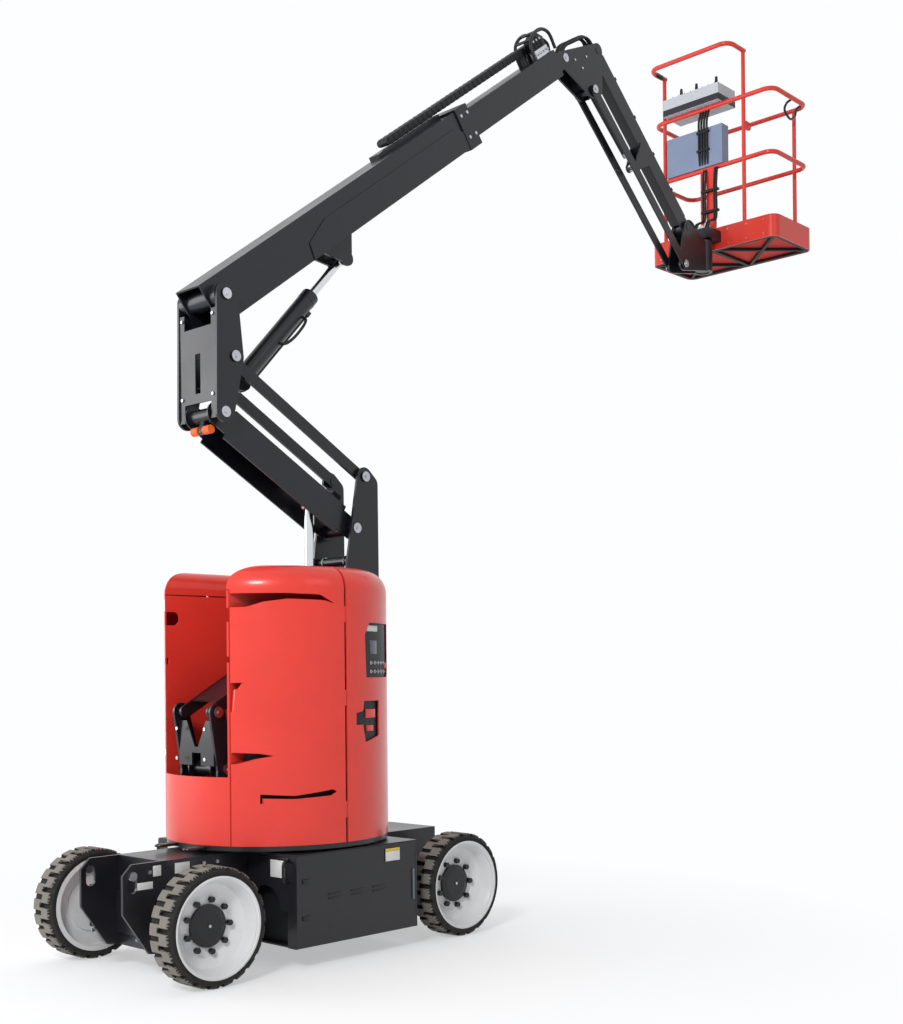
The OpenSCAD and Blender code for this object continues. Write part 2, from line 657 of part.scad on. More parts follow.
// Hose carrier over the boom: a tray on the outer boom and a run that is carried by the fly boom
carrier_w = 80;
carrier_h = 40;
tray_start = 1620;
tray_h = 26;
carrier_start = 1750;
carrier_end = head_reach - 150;
carrier_lift = boom_z1 + 36;
carrier_foot = 160;
module hose_carrier() color([0.1, 0.1, 0.12]) aim(P, boom_angle) {
    translate([carrier_start, 0, carrier_lift]) cube([carrier_end - carrier_start, carrier_w, carrier_h]);
    translate([carrier_start, 0, carrier_lift + carrier_h/2]) rotate([-90, 0, 0])
        cylinder(r = carrier_h/2, h = carrier_w);
    translate([carrier_end - carrier_foot, 0, fly_z1 + seat])
        cube([carrier_foot, fly_w/2, carrier_lift + carrier_h - fly_z1 - seat]);
}
module boom_fly() color([0.12, 0.12, 0.16]) aim(P, boom_angle) {
    box_tube(1100, head_reach - 90, fly_w, fly_z0, fly_z1, 6);
    both(fly_w/2 - 14, fly_w/2) bar([head_reach - 150, -boom_mid], [head_reach, -boom_mid], 70, 45);
    slab(-fly_w/2, fly_w/2) spot([head_reach, -boom_mid], pin_r);
}
head_half = 57;
head_in = 42;
module boom_head() color([0.12, 0.12, 0.16]) difference() {
    union() {
        both(head_in, head_half) plate([H, J2, G1, J1], 48);
        pin(H, 46, -head_half, head_half);
        pin(J1, pin_r, -head_half - 3, head_half + 3);
        pin(J2, pin_r, -head_half - 22, head_half + 22);
        pin(G1, pin_r, -head_half, head_half);
    }
    pin(H, pin_r + pin_gap, -200, 200);
}
// Jib tube with cheek plates at both ends and a cylinder lug below it
jib_cheek = jib_w/2 - 1;
jib_ear_in = jib_w/2 - 3;
module jib_arm() color([0.12, 0.12, 0.16]) difference() {
    union() {
        aim(J1, -jib_drop) {
            box_tube(60, jib_len - 60, jib_w, -jib_depth/2, jib_depth/2, 6);
            both(jib_cheek - 12, jib_cheek) {
                bar([0, 0], [110, 0], 50, jib_depth/2 - 8);
                bar([jib_len, 0], [jib_len - 110, 0], 50, jib_depth/2 - 8);
            }
            both(jib_ear_in, jib_ear_in + 10) {
                spot([jib_ear_s, jib_ear_t], 32);
                polygon([[jib_ear_s - 90, 30 - jib_depth/2], [jib_ear_s + 90, 30 - jib_depth/2],
                    [jib_ear_s + 31, jib_ear_t], [jib_ear_s - 31, jib_ear_t]]);
            }
        }
        pin(J1, 49, -jib_cheek, jib_cheek);
        pin(K1, 49, -jib_cheek, jib_cheek);
    }
    pin(J1, pin_r + pin_gap, -100, 100);
    pin(K1, pin_r + pin_gap, -100, 100);
}
module jib_link() color([0.12, 0.12, 0.16]) riser_link(J2, K2, 62, 74);
// Level bracket at the jib end with the rotator socket
module platform_bracket() color([0.12, 0.12, 0.16]) difference() {
    union() {
        both(42, 57) plate([K1, K2, [rotator_x - 40, K2[1] + 60], [rotator_x - 40, K1[1] - 110]], 45);
        pin(K1, pin_r, -60, 60);
        both(head_in + 2, 79) spot(K2, pin_r);
        translate([rotator_x, 0, K2[1] + 20]) cylinder(r = 72, h = basket_z0 + 40 - K2[1] - 20);
    }
    translate([rotator_x, 0, K2[1]]) cylinder(r = 50 + pin_gap, h = 600);
}
module rotator() color([0.2, 0.2, 0.23]) {
    translate([rotator_x, 0, K2[1] + 25]) cylinder(r = 50, h = basket_z0 + 60 - K2[1] - 25);
    translate([rotator_x - 50, -90, basket_z0 + 50]) cube([basket_x0 - rotator_x + 50 - seat, 180, 80]);
}

// Rounded rectangle in plan
module rounded(x0, x1, y0, y1, r) {
    translate([x0 + r, y0]) square([x1 - x0 - 2*r, y1 - y0]);
    translate([x0, y0 + r]) square([x1 - x0, y1 - y0 - 2*r]);
    for (x = [x0 + r, x1 - r], y = [y0 + r, y1 - r]) translate([x, y]) circle(r);
}
corner_r = 70;
module basket_plan(inset)
    rounded(basket_x0 + inset, basket_x0 + basket_x - inset, inset - basket_y/2, basket_y/2 - inset, corner_r - inset);
toe_wall = 8;
floor_h = 30;
floor_plate = 8;
module basket_floor() color([0.1, 0.1, 0.12]) translate([0, 0, basket_z0]) {
    translate([0, 0, floor_h - floor_plate]) linear_extrude(floor_plate) basket_plan(toe_wall + seat);
    linear_extrude(floor_h) intersection() {
        basket_plan(toe_wall + seat);
        union() {
            difference() {
                basket_plan(toe_wall + seat);
                basket_plan(toe_wall + 30);
            }
            for (y = [-1, 1], a = [-45, 45]) translate([basket_x0 + basket_x/2, y*basket_y/4]) rotate(a)
                square([2*basket_x, 24], center = true);
            translate([basket_x0, -15]) square([basket_x, 30]);
        }
    }
}
module toe_board() color([0.85, 0.16, 0.12]) translate([0, 0, basket_z0]) linear_extrude(toe_h) difference() {
    basket_plan(0);
    basket_plan(toe_wall);
}

// Guard rails: straight tubes and bends that butt against each other
rail_z = basket_z0 + rail_h;
mid_rail_h = 640;
mid_rail_z = basket_z0 + mid_rail_h;
rail_in = toe_wall + rail_r + 2;
rx0 = basket_x0 + rail_in;
rx1 = basket_x0 + basket_x - rail_in;
ry = basket_y/2 - rail_in;
bend_r = 80;
post_r = rail_r - 2;
corner_post_y = ry - 110;
tall_post_y = -280;
// Horizontal tube from p to q at height z
module rail_run(p, q, z, r = rail_r) translate([p[0], p[1], z]) rotate(heading(p, q)) rotate([0, 90, 0])
    translate([0, 0, seat/2]) cylinder(r = r, h = norm(q - p) - seat);
// Quarter bend about c starting at angle a
module rail_bend(c, a, z) translate([c[0], c[1], z]) rotate(a) rotate_extrude(angle = 90)
    translate([bend_r, 0]) circle(rail_r);
module rail_loop(z) {
    rail_run([rx0 + bend_r, -ry], [rx1 - bend_r, -ry], z);
    rail_run([rx1, -ry + bend_r], [rx1, ry - bend_r], z);
    rail_run([rx1 - bend_r, ry], [rx0 + bend_r, ry], z);
    rail_run([rx0, ry - bend_r], [rx0, -ry + bend_r], z);
    rail_bend([rx1 - bend_r, -ry + bend_r], -90, z);
    rail_bend([rx1 - bend_r, ry - bend_r], 0, z);
    rail_bend([rx0 + bend_r, ry - bend_r], 90, z);
    rail_bend([rx0 + bend_r, -ry + bend_r], 180, z);
}
module guard_rails() color([0.85, 0.16, 0.12]) {
    rail_loop(rail_z);
    rail_loop(mid_rail_z);
}
// Hoop over the control box, from the tall post round to its end post
hoop_z = rail_z + 345;
hoop_x = rx0 - 205;
// The hoop's end post stands on the straight run of the rail, just short of the bend
hoop_end_clear = 3;
hoop_end_y = ry - bend_r - post_r - hoop_end_clear;
module hoop() {
    rail_run([hoop_x + bend_r, tall_post_y], [rx0 + rail_r, tall_post_y], hoop_z);
    rail_bend([hoop_x + bend_r, tall_post_y + bend_r], 180, hoop_z);
    rail_run([hoop_x, tall_post_y + bend_r], [hoop_x, hoop_end_y - bend_r], hoop_z);
    rail_bend([hoop_x + bend_r, hoop_end_y - bend_r], 90, hoop_z);
    rail_run([hoop_x + bend_r, hoop_end_y], [rx0 + rail_r, hoop_end_y], hoop_z);
}
// Upright tube from the floor to height z1
module post(x, y, z1) translate([x, y, basket_z0 + floor_h + seat])
    cylinder(r = post_r, h = z1 - basket_z0 - floor_h - seat);
// Saddle cut across a post at x, for a rail along Y
module saddle(x, z) rail_run([x, -basket_y], [x, basket_y], z, rail_r + seat);
// Posts that end in saddles at the rails, and the hoop
module guard_posts() color([0.85, 0.16, 0.12]) {
    difference() {
        for (y = [-corner_post_y, corner_post_y]) post(rx1, y, rail_z);
        for (z = [mid_rail_z, rail_z]) saddle(rx1, z);
    }
    difference() {
        for (y = [tall_post_y, hoop_end_y]) post(rx0, y, hoop_z);
        for (z = [mid_rail_z, rail_z]) saddle(rx0, z);
        for (y = [tall_post_y, hoop_end_y])
            rail_run([hoop_x, y], [rx0 + basket_x, y], hoop_z, rail_r + seat);
    }
    hoop();
}
// Lanyard anchor plate on the tall post
anchor_drop = 210;
anchor_z = rail_z - anchor_drop;
anchor_out = 64;
anchor_r = 14;
anchor_half = 5;
anchor_edge = 32;
module lanyard_anchor() color([0.85, 0.16, 0.12]) difference() {
    slab(tall_post_y - anchor_half, tall_post_y + anchor_half) {
        spot([rx0 + anchor_out, anchor_z], anchor_edge);
        translate([rx0 + post_r + seat, anchor_z - anchor_edge])
            square([anchor_out - post_r - seat, 2*anchor_edge]);
    }
    pin([rx0 + anchor_out, anchor_z], anchor_r, tall_post_y - 10, tall_post_y + 10);
}
// Closed box with walls of thickness t
module hollow_box(size, t) difference() {
    cube(size);
    translate([t, t, t]) cube(size - 2*[t, t, t]);
}
console = [240, 500, 130];
module control_box() color([0.75, 0.77, 0.8])
    translate([rx0 - 60, hoop_end_y - rail_r - 10 - console[1], rail_z + rail_r + seat]) hollow_box(console, 4);
tray = [90, 500, 300];
tray_wall = 4;
module tool_tray() color([0.6, 0.65, 0.72]) translate([rx0 - rail_r, -100, mid_rail_z + rail_r + seat]) difference() {
    cube(tray);
    translate([tray_wall, tray_wall, tray_wall]) cube(tray - [2*tray_wall, 2*tray_wall, 0]);
}

chassis_frame();
side_box(-1);  // side_box_r
side_box(1);  // side_box_l
battery(-1);  // battery_r
battery(1);  // battery_l
battery_door(-1);  // battery_door_r
battery_door(1);  // battery_door_l
drive_axle();
knuckle(-1);  // knuckle_r
knuckle(1);  // knuckle_l
tie_rod();
wheel(steer_x, -1);  // wheel_fr
wheel(steer_x, 1);  // wheel_fl
wheel(drive_x, -1);  // wheel_rr
wheel(drive_x, 1);  // wheel_rl
tyre(steer_x, -1);  // tyre_fr
tyre(steer_x, 1);  // tyre_fl
tyre(drive_x, -1);  // tyre_rr
tyre(drive_x, 1);  // tyre_rl
turntable_deck();
counterweight();
base_bracket();
tail_panel();
cover_front(-1);  // cover_front_r
cover_front(1);  // cover_front_l
hood(-1);  // hood_r
hood(1);  // hood_l
ground_controls();
riser_lower_arm();
riser_lower_link();
mid_upright();
riser_upper_arm();
riser_upper_link();
upper_upright();
riser_barrel();
riser_rod();
boom_outer();
boom_barrel();
boom_rod();
boom_fly();
boom_head();
jib_arm();
jib_link();
jib_barrel();
jib_rod();
platform_bracket();
rotator();
basket_floor();
toe_board();
guard_rails();
guard_posts();
lanyard_anchor();
control_box();
tool_tray();
hose_carrier();
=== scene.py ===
"""Looks of an articulating boom lift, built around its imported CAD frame."""

from __future__ import annotations

import json
import logging
import math
from dataclasses import dataclass

import bmesh
import bpy
from mathutils import Matrix, Vector

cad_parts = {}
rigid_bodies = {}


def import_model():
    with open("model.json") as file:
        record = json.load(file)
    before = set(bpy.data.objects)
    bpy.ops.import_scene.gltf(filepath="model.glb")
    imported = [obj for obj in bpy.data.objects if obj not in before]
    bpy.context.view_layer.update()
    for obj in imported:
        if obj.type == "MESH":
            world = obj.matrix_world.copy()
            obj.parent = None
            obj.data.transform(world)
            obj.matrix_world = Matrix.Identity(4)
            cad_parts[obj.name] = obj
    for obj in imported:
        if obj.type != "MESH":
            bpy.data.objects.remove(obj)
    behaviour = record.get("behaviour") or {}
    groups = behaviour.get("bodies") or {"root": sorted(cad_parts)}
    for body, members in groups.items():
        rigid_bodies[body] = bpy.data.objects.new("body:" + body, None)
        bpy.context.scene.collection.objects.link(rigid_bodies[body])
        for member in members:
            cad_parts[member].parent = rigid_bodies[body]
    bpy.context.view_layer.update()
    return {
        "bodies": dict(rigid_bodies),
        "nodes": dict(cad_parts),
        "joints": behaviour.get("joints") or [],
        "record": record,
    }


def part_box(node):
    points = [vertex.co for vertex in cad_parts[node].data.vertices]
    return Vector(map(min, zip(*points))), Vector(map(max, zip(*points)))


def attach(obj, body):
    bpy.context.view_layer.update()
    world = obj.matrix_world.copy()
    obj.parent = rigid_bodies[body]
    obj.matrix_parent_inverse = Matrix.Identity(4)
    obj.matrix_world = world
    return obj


LOG = logging.getLogger("boom_lift")
UP = Vector((0.0, 0.0, 1.0))
BACK = Vector((-1.0, 0.0, 0.0))
SIDES = (-1, 1)
BACKDROP = "FDFEFF"
ROAD_DUST = "8D8780"
DUST_HEIGHT = 0.9
PATCHES_PER_METRE = 3.5
PLAIN_SHINE = 0.3
COAT_ROUGHNESS = 0.15
SMOOTH_ANGLE = math.radians(35.0)


def srgb(code: str) -> tuple[float, float, float, float]:
    """Turn six sRGB hex digits into a linear colour with an alpha of one."""
    linear = []
    for start in (0, 2, 4):
        value = int(code[start : start + 2], 16) / 255
        linear.append(value / 12.92 if value <= 0.04045 else ((value + 0.055) / 1.055) ** 2.4)
    return (*linear, 1.0)


def add_node(
    tree: bpy.types.NodeTree, kind: str, *first: object, operation: str = "", **named: object
) -> bpy.types.Node:
    """Add a node and fill its inputs with constants or links.

    Args:
        tree: Node tree that gets the node.
        kind: Node class name.
        first: Constants or sockets for the first inputs, in order.
        operation: What a math node does.
        named: Constants or sockets by input name, with underscores for spaces.

    Returns:
        The new node.
    """
    made = tree.nodes.new(kind)
    if operation:
        made.operation = operation
    given = [(made.inputs[index], value) for index, value in enumerate(first)]
    given += [(made.inputs[key.replace("_", " ")], value) for key, value in named.items()]
    for target, value in given:
        if isinstance(value, bpy.types.NodeSocket):
            tree.links.new(value, target)
        else:
            target.default_value = value
    return made


def ramp(
    tree: bpy.types.NodeTree,
    value: bpy.types.NodeSocket,
    source: tuple[float, float],
    target: tuple[float, float],
) -> bpy.types.NodeSocket:
    """Map one range of a value to another and hold it at the ends.

    Args:
        tree: Node tree that gets the node.
        value: Value to map.
        source: Ends of the range that is read.
        target: What these ends become.

    Returns:
        The mapped value.
    """
    made = add_node(tree, "ShaderNodeMapRange", Value=value, From_Min=source[0], From_Max=source[1])
    made.inputs["To Min"].default_value, made.inputs["To Max"].default_value = target
    return made.outputs["Result"]


@dataclass(frozen=True)
class Finish:
    """A surface finish with its real-world scales.

    Attributes:
        name: Name of the material.
        colour: sRGB hex code of the clean surface.
        roughness: Mean roughness of the surface.
        speckle: Variation of value over the surface.
        grain_mm: Size of the fine surface grain.
        bump_mm: Depth of the fine surface grain.
        metallic: One for bare metal.
        coat: Weight of the clear coat.
        dust: Share of pale dust that gathers low on the machine.
        slot: The record's material slot, where loose pieces have the finish. Not used.
    """

    name: str
    colour: str
    roughness: float
    speckle: float
    grain_mm: float
    bump_mm: float
    metallic: float = 0.0
    coat: float = 0.0
    dust: float = 0.0
    slot: str = ""


COVER_RED = Finish("red moulded cover", "E23A2E", 0.32, 0.03, 3.0, 0.03, coat=0.35, slot="cover_red")
RAIL_RED = Finish("red powder coat", "DF3A2C", 0.36, 0.04, 1.5, 0.03, coat=0.25, slot="basket_red")
# Red seen under the floor, in a darker copy of the rail red: the darker tone is painted shade under the
# floor.
SHADED_UNDER_RED = Finish("red underside with painted shade", "BE2C21", 0.62, 0.06, 2.0, 0.05)
NAVY = Finish("navy machine paint", "14151C", 0.38, 0.08, 2.0, 0.03, coat=0.25, dust=0.03, slot="frame_navy")
RUBBER = Finish("tyre rubber", "1A1A1A", 0.82, 0.16, 1.2, 0.12, dust=0.06, slot="tyre_rubber")
TREAD = Finish("worn tread rubber", "7C7871", 0.88, 0.12, 1.5, 0.2, dust=0.2)
RIM_WHITE = Finish("white wheel paint", "E6E7E8", 0.38, 0.04, 2.0, 0.03, coat=0.2, dust=0.1)
CHROME = Finish("hard chrome rod", "D5D8DC", 0.12, 0.02, 0.5, 0.004, metallic=1.0)
ZINC = Finish("zinc plated steel", "B9BCC2", 0.3, 0.08, 1.0, 0.01, metallic=1.0, slot="tie_steel")
IRON = Finish("painted iron casting", "24252A", 0.6, 0.12, 6.0, 0.25, dust=0.1)
TRAY_GREY = Finish("blue grey tray paint", "8390AC", 0.42, 0.04, 1.5, 0.04)
GREY_PLASTIC = Finish("grey moulding", "C3C8CE", 0.45, 0.03, 1.0, 0.05, slot="control_grey")
BLACK_PLASTIC = Finish("black moulding", "17181B", 0.5, 0.05, 1.0, 0.06, slot="panel_black")
BLACK_PAINT = Finish("black gloss paint", "101114", 0.3, 0.05, 1.5, 0.02, coat=0.2, slot="panel_black")
CONSOLE_DARK = Finish("dark console base", "2A2D33", 0.5, 0.05, 1.0, 0.06, slot="panel_black")
PLATE_WHITE = Finish("blank white plate", "DCDDDB", 0.4, 0.03, 2.0, 0.01, slot="wheel_white")
DISPLAY_BLUE = Finish("unlit display", "4A4C63", 0.25, 0.03, 1.0, 0.005, coat=0.3, slot="control_grey")
PLATE_YELLOW = Finish("blank yellow strip", "E2C23C", 0.4, 0.03, 2.0, 0.01, slot="control_grey")
SLATE = Finish("slate handle paint", "6A747C", 0.4, 0.05, 1.5, 0.02, slot="control_grey")
PAD_ORANGE = Finish("orange stop pad", "E8662C", 0.55, 0.05, 1.5, 0.05, slot="basket_red")
ALUMINIUM = Finish("machined aluminium", "C9CBCE", 0.32, 0.04, 0.8, 0.006, metallic=1.0, slot="tie_steel")
HOSE = Finish("hydraulic hose", "121315", 0.55, 0.08, 1.0, 0.05, slot="panel_black")
FLOOR_BLACK = Finish("black floor coat", "16171A", 0.55, 0.1, 2.0, 0.1, dust=0.15, slot="floor_black")

NODE_FINISHES: dict[str, Finish] = {
    "tyre_": RUBBER,
    "wheel_": RIM_WHITE,
    "cover_": COVER_RED,
    "hood_": COVER_RED,
    "tail_panel": COVER_RED,
    "toe_board": RAIL_RED,
    "guard_rails": RAIL_RED,
    "guard_posts": RAIL_RED,
    "lanyard_anchor": RAIL_RED,
    "hose_carrier": BLACK_PLASTIC,
    "riser_rod": CHROME,
    "boom_rod": CHROME,
    "jib_rod": CHROME,
    "tie_rod": ZINC,
    "counterweight": IRON,
    "battery_r": BLACK_PLASTIC,
    "battery_l": BLACK_PLASTIC,
    "ground_controls": BLACK_PLASTIC,
    "control_box": GREY_PLASTIC,
    "tool_tray": TRAY_GREY,
    "basket_floor": FLOOR_BLACK,
}


def finish_of(node: str) -> Finish:
    """Pick the finish of a CAD node by its name, or machine paint where no other is named."""
    if node in NODE_FINISHES:
        return NODE_FINISHES[node]
    for prefix, finish in NODE_FINISHES.items():
        if prefix.endswith("_") and node.startswith(prefix):
            return finish
    return NAVY


class Materials:
    """Builds each finish once as a procedural node material."""

    def __init__(self) -> None:
        self._made: dict[str, bpy.types.Material] = {}

    def get(self, finish: Finish) -> bpy.types.Material:
        """Return the material of a finish, making it on first use."""
        if finish.name not in self._made:
            self._made[finish.name] = self._build(finish)
        return self._made[finish.name]

    def _build(self, finish: Finish) -> bpy.types.Material:
        """Make the node material of a finish, with patches of tone and a fine grain."""
        made = bpy.data.materials.new(finish.name)
        made.use_nodes = True
        tree = made.node_tree
        tree.nodes.clear()
        place = add_node(tree, "ShaderNodeTexCoord").outputs["Object"]
        noise = add_node(tree, "ShaderNodeTexNoise", Vector=place, Scale=PATCHES_PER_METRE, Detail=6.0)
        noise.inputs["Roughness"].default_value = 0.6
        patch = noise.outputs["Fac"]
        grain = add_node(tree, "ShaderNodeTexNoise", Vector=place, Scale=1000 / finish.grain_mm, Detail=3.0)
        value = ramp(tree, patch, (0.3, 0.7), (1 - finish.speckle * 2, 1 + finish.speckle))
        colour = srgb(finish.colour)
        tint = add_node(tree, "ShaderNodeHueSaturation", Color=colour, Value=value).outputs["Color"]
        if finish.dust:
            tint = self._dusted(tree, place, patch, tint, finish.dust)
        ends = (max(0.02, finish.roughness - 0.06), min(1.0, finish.roughness + 0.08))
        bump = add_node(tree, "ShaderNodeBump", Height=grain.outputs["Fac"], Strength=0.6)
        bump.inputs["Distance"].default_value = finish.bump_mm / 1000
        surface = add_node(
            tree,
            "ShaderNodeBsdfPrincipled",
            Base_Color=tint,
            Roughness=ramp(tree, patch, (0.25, 0.75), ends),
            Metallic=finish.metallic,
            Specular_IOR_Level=PLAIN_SHINE,
            Coat_Weight=finish.coat,
            Coat_Roughness=COAT_ROUGHNESS,
            Normal=bump.outputs["Normal"],
        )
        output = add_node(tree, "ShaderNodeOutputMaterial", Surface=surface.outputs["BSDF"])
        output.is_active_output = True
        return made

    @staticmethod
    def _dusted(
        tree: bpy.types.NodeTree,
        place: bpy.types.NodeSocket,
        patch: bpy.types.NodeSocket,
        tint: bpy.types.NodeSocket,
        share: float,
    ) -> bpy.types.NodeSocket:
        """Mix pale road dust over a colour, fading out with height.

        Args:
            tree: Node tree of the material.
            place: Object coordinates.
            patch: Broad noise that breaks up the dust.
            tint: Clean colour.
            share: Mean share of dust at the ground.

        Returns:
            The dusted colour.
        """
        height = add_node(tree, "ShaderNodeSeparateXYZ", Vector=place).outputs["Z"]
        low = ramp(tree, height, (0.0, DUST_HEIGHT), (1.0, 0.0))
        amount = add_node(tree, "ShaderNodeMath", low, patch, operation="MULTIPLY").outputs["Value"]
        scaled = add_node(tree, "ShaderNodeMath", amount, share * 2, operation="MULTIPLY")
        mix = add_node(tree, "ShaderNodeMix")
        mix.data_type = "RGBA"
        tree.links.new(scaled.outputs["Value"], mix.inputs["Factor"])
        clean, dusty = mix.inputs[6], mix.inputs[7]
        tree.links.new(tint, clean)
        dusty.default_value = srgb(ROAD_DUST)
        return mix.outputs[2]


def along(origin: Vector, angle: float, ahead: float, across: float = 0.0, side: float = 0.0) -> Vector:
    """Point in the upright plane, measured along and across a direction.

    Args:
        origin: Start point.
        angle: Direction above level, in radians.
        ahead: Distance along the direction.
        across: Distance square to it, upwards for a level direction.
        side: Offset along Y.

    Returns:
        The point.
    """
    ahead_x, ahead_z = math.cos(angle), math.sin(angle)
    return origin + Vector((ahead * ahead_x - across * ahead_z, side, ahead * ahead_z + across * ahead_x))


def heading(start: Vector, end: Vector) -> float:
    """Angle above level from one point to another in the upright plane, in radians."""
    return math.atan2(end.z - start.z, end.x - start.x)


def turned(place: Vector, angle: float = 0.0, yaw: float = 0.0) -> Matrix:
    """Matrix at a place with X pitched up by an angle and then turned about Z.

    Args:
        place: Centre.
        angle: Pitch of X above level, in radians.
        yaw: Turn about Z, in radians.

    Returns:
        The matrix.
    """
    return Matrix.Translation(place) @ Matrix.Rotation(yaw, 4, "Z") @ Matrix.Rotation(-angle, 4, "Y")


def facing(axis: Vector) -> Matrix:
    """Turn that brings Z to an axis."""
    return axis.to_track_quat("Z", "Y").to_matrix().to_4x4()


def smooth_path(points: list[Vector], steps: int = 8) -> list[Vector]:
    """Pass a smooth curve through points.

    Args:
        points: Points on the curve, three or more.
        steps: Steps between two points.

    Returns:
        The denser row of points.
    """
    padded = [2 * points[0] - points[1], *points, 2 * points[-1] - points[-2]]
    path = []
    for a, b, c, d in zip(padded, padded[1:], padded[2:], padded[3:]):
        bend = 2 * a - 5 * b + 4 * c - d
        twist = 3 * b - a - 3 * c + d
        for step in range(steps):
            t = step / steps
            path.append(0.5 * (2 * b + (c - a) * t + bend * t**2 + twist * t**3))
    path.append(points[-1])
    return path


class Forge:
    """Gathers simple solids into one mesh piece."""

    def __init__(self, name: str) -> None:
        self.name = name
        self._mesh = bmesh.new()

    def block(self, size: tuple[float, float, float], place: Matrix | Vector, bevel: float = 0.0) -> None:
        """Add a box with optional rounded edges.

        Args:
            size: Lengths along the box's own axes.
            place: Centre, or a matrix of the centre and turn.
            bevel: Edge radius.
        """
        if isinstance(place, Vector):
            place = Matrix.Translation(place)
        made = bmesh.ops.create_cube(self._mesh, size=1.0, matrix=place @ Matrix.Diagonal((*size, 1.0)))
        if bevel:
            edges = list({edge for vert in made["verts"] for edge in vert.link_edges})
            bmesh.ops.bevel(self._mesh, geom=edges, offset=bevel, segments=2, profile=0.5, affect="EDGES")

    def rod(
        self, start: Vector, end: Vector, radius: float, sides: int = 24, tip: float | None = None
    ) -> None:
        """Add a round or many-sided bar between two points.

        Args:
            start: Centre of the first end.
            end: Centre of the second end.
            radius: Radius at the first end.
            sides: Number of sides.
            tip: Radius at the second end, the same where it isn't given.
        """
        axis = end - start
        bmesh.ops.create_cone(
            self._mesh,
            cap_ends=True,
            segments=sides,
            radius1=radius,
            radius2=radius if tip is None else tip,
            depth=axis.length,
            matrix=Matrix.Translation((start + end) / 2) @ facing(axis),
        )

    def bolt(self, face: Vector, rise: Vector, radius: float) -> None:
        """Add a six-sided bolt head.

        Args:
            face: Middle of the head's seat.
            rise: Step from the seat to the top of the head.
            radius: Radius over the corners.
        """
        self.rod(face, face + rise, radius, 6)

    def hose(self, points: list[Vector], radius: float, sides: int = 10) -> None:
        """Add a smooth closed tube through points.

        Args:
            points: Points that the tube passes.
            radius: Radius of the tube.
            sides: Number of sides.
        """
        path = smooth_path(points)
        rings = []
        aim = (path[1] - path[0]).normalized()
        out = aim.orthogonal().normalized()
        for index, point in enumerate(path):
            before = path[max(index - 1, 0)]
            after = path[min(index + 1, len(path) - 1)]
            new_aim = (after - before).normalized()
            out = (aim.rotation_difference(new_aim) @ out).normalized()
            aim = new_aim
            other = aim.cross(out)
            ring = []
            for step in range(sides):
                angle = 2 * math.pi * step / sides
                spoke = math.cos(angle) * out + math.sin(angle) * other
                ring.append(self._mesh.verts.new(point + radius * spoke))
            rings.append(ring)
        for first, second in zip(rings, rings[1:]):
            self._wall(first, second)
        self._mesh.faces.new(list(reversed(rings[0])))
        self._mesh.faces.new(rings[-1])

    def ring(self, centre: Vector, axis: Vector, radius: float, thick: float, steps: int = 72) -> None:
        """Add a thin round ring.

        Args:
            centre: Centre of the ring.
            axis: Axis of the ring.
            radius: Radius to the middle of the section.
            thick: Radius of the section.
            steps: Number of steps around.
        """
        turn = axis.to_track_quat("Z", "Y").to_matrix()
        sides = 8
        rows = []
        for step in range(steps):
            angle = 2 * math.pi * step / steps
            row = []
            for part in range(sides):
                round_angle = 2 * math.pi * part / sides
                far = radius + thick * math.cos(round_angle)
                spot = Vector((far * math.cos(angle), far * math.sin(angle), thick * math.sin(round_angle)))
                row.append(self._mesh.verts.new(centre + turn @ spot))
            rows.append(row)
        for first, second in zip(rows, rows[1:] + rows[:1]):
            self._wall(first, second)

    def outline(self, points: list[tuple[float, float]], low: float, high: float, place: Matrix) -> None:
        """Add a flat outline pushed out along its Z axis.

        Args:
            points: Outline in the XY plane of the place matrix, anticlockwise.
            low: Lower Z.
            high: Upper Z.
            place: Matrix of the outline.
        """
        bottom = [self._mesh.verts.new(place @ Vector((x, y, low))) for x, y in points]
        top = [self._mesh.verts.new(place @ Vector((x, y, high))) for x, y in points]
        self._mesh.faces.new(list(reversed(bottom)))
        self._mesh.faces.new(top)
        self._wall(bottom, top)

    def _wall(self, first: list[bmesh.types.BMVert], second: list[bmesh.types.BMVert]) -> None:
        """Join two closed rows of as many vertices with a wall of four-sided faces.

        Args:
            first: Vertices of the one row.
            second: Vertices of the other row.
        """
        for step, start in enumerate(first):
            after = (step + 1) % len(first)
            self._mesh.faces.new((start, first[after], second[after], second[step]))

    def done(self, material: bpy.types.Material, body: str) -> None:
        """Turn the gathered solids into a piece that rides a body.

        Args:
            material: Material of the piece.
            body: CAD body that it moves with.
        """
        bmesh.ops.recalc_face_normals(self._mesh, faces=self._mesh.faces)
        mesh = bpy.data.meshes.new(self.name)
        self._mesh.to_mesh(mesh)
        self._mesh.free()
        mesh.materials.append(material)
        mesh.shade_smooth()
        mesh.set_sharp_from_angle(angle=SMOOTH_ANGLE)
        piece = bpy.data.objects.new(self.name, mesh)
        bpy.context.scene.collection.objects.link(piece)
        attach(piece, body)
        LOG.info("%s rides %s", self.name, body)


class Machine:
    """Nodes, pivot points and materials that the sub-assemblies share."""

    def __init__(self, frame: dict) -> None:
        self.nodes: dict[str, bpy.types.Object] = frame["nodes"]
        self._materials = Materials()
        joints = [joint for joint in frame["joints"] if "pos_m" in joint]
        self._pivots = {joint["name"]: Vector(joint["pos_m"]) for joint in joints}

    def pivot(self, joint: str) -> Vector:
        """Return where a joint's axis stands at rest."""
        return self._pivots[joint].copy()

    def paint(self, finish: Finish) -> bpy.types.Material:
        """Return the material of a finish."""
        return self._materials.get(finish)

    def paint_frame(self) -> None:
        """Give each CAD node its finish."""
        for name, node in self.nodes.items():
            node.data.materials.clear()
            node.data.materials.append(self.paint(finish_of(name)))


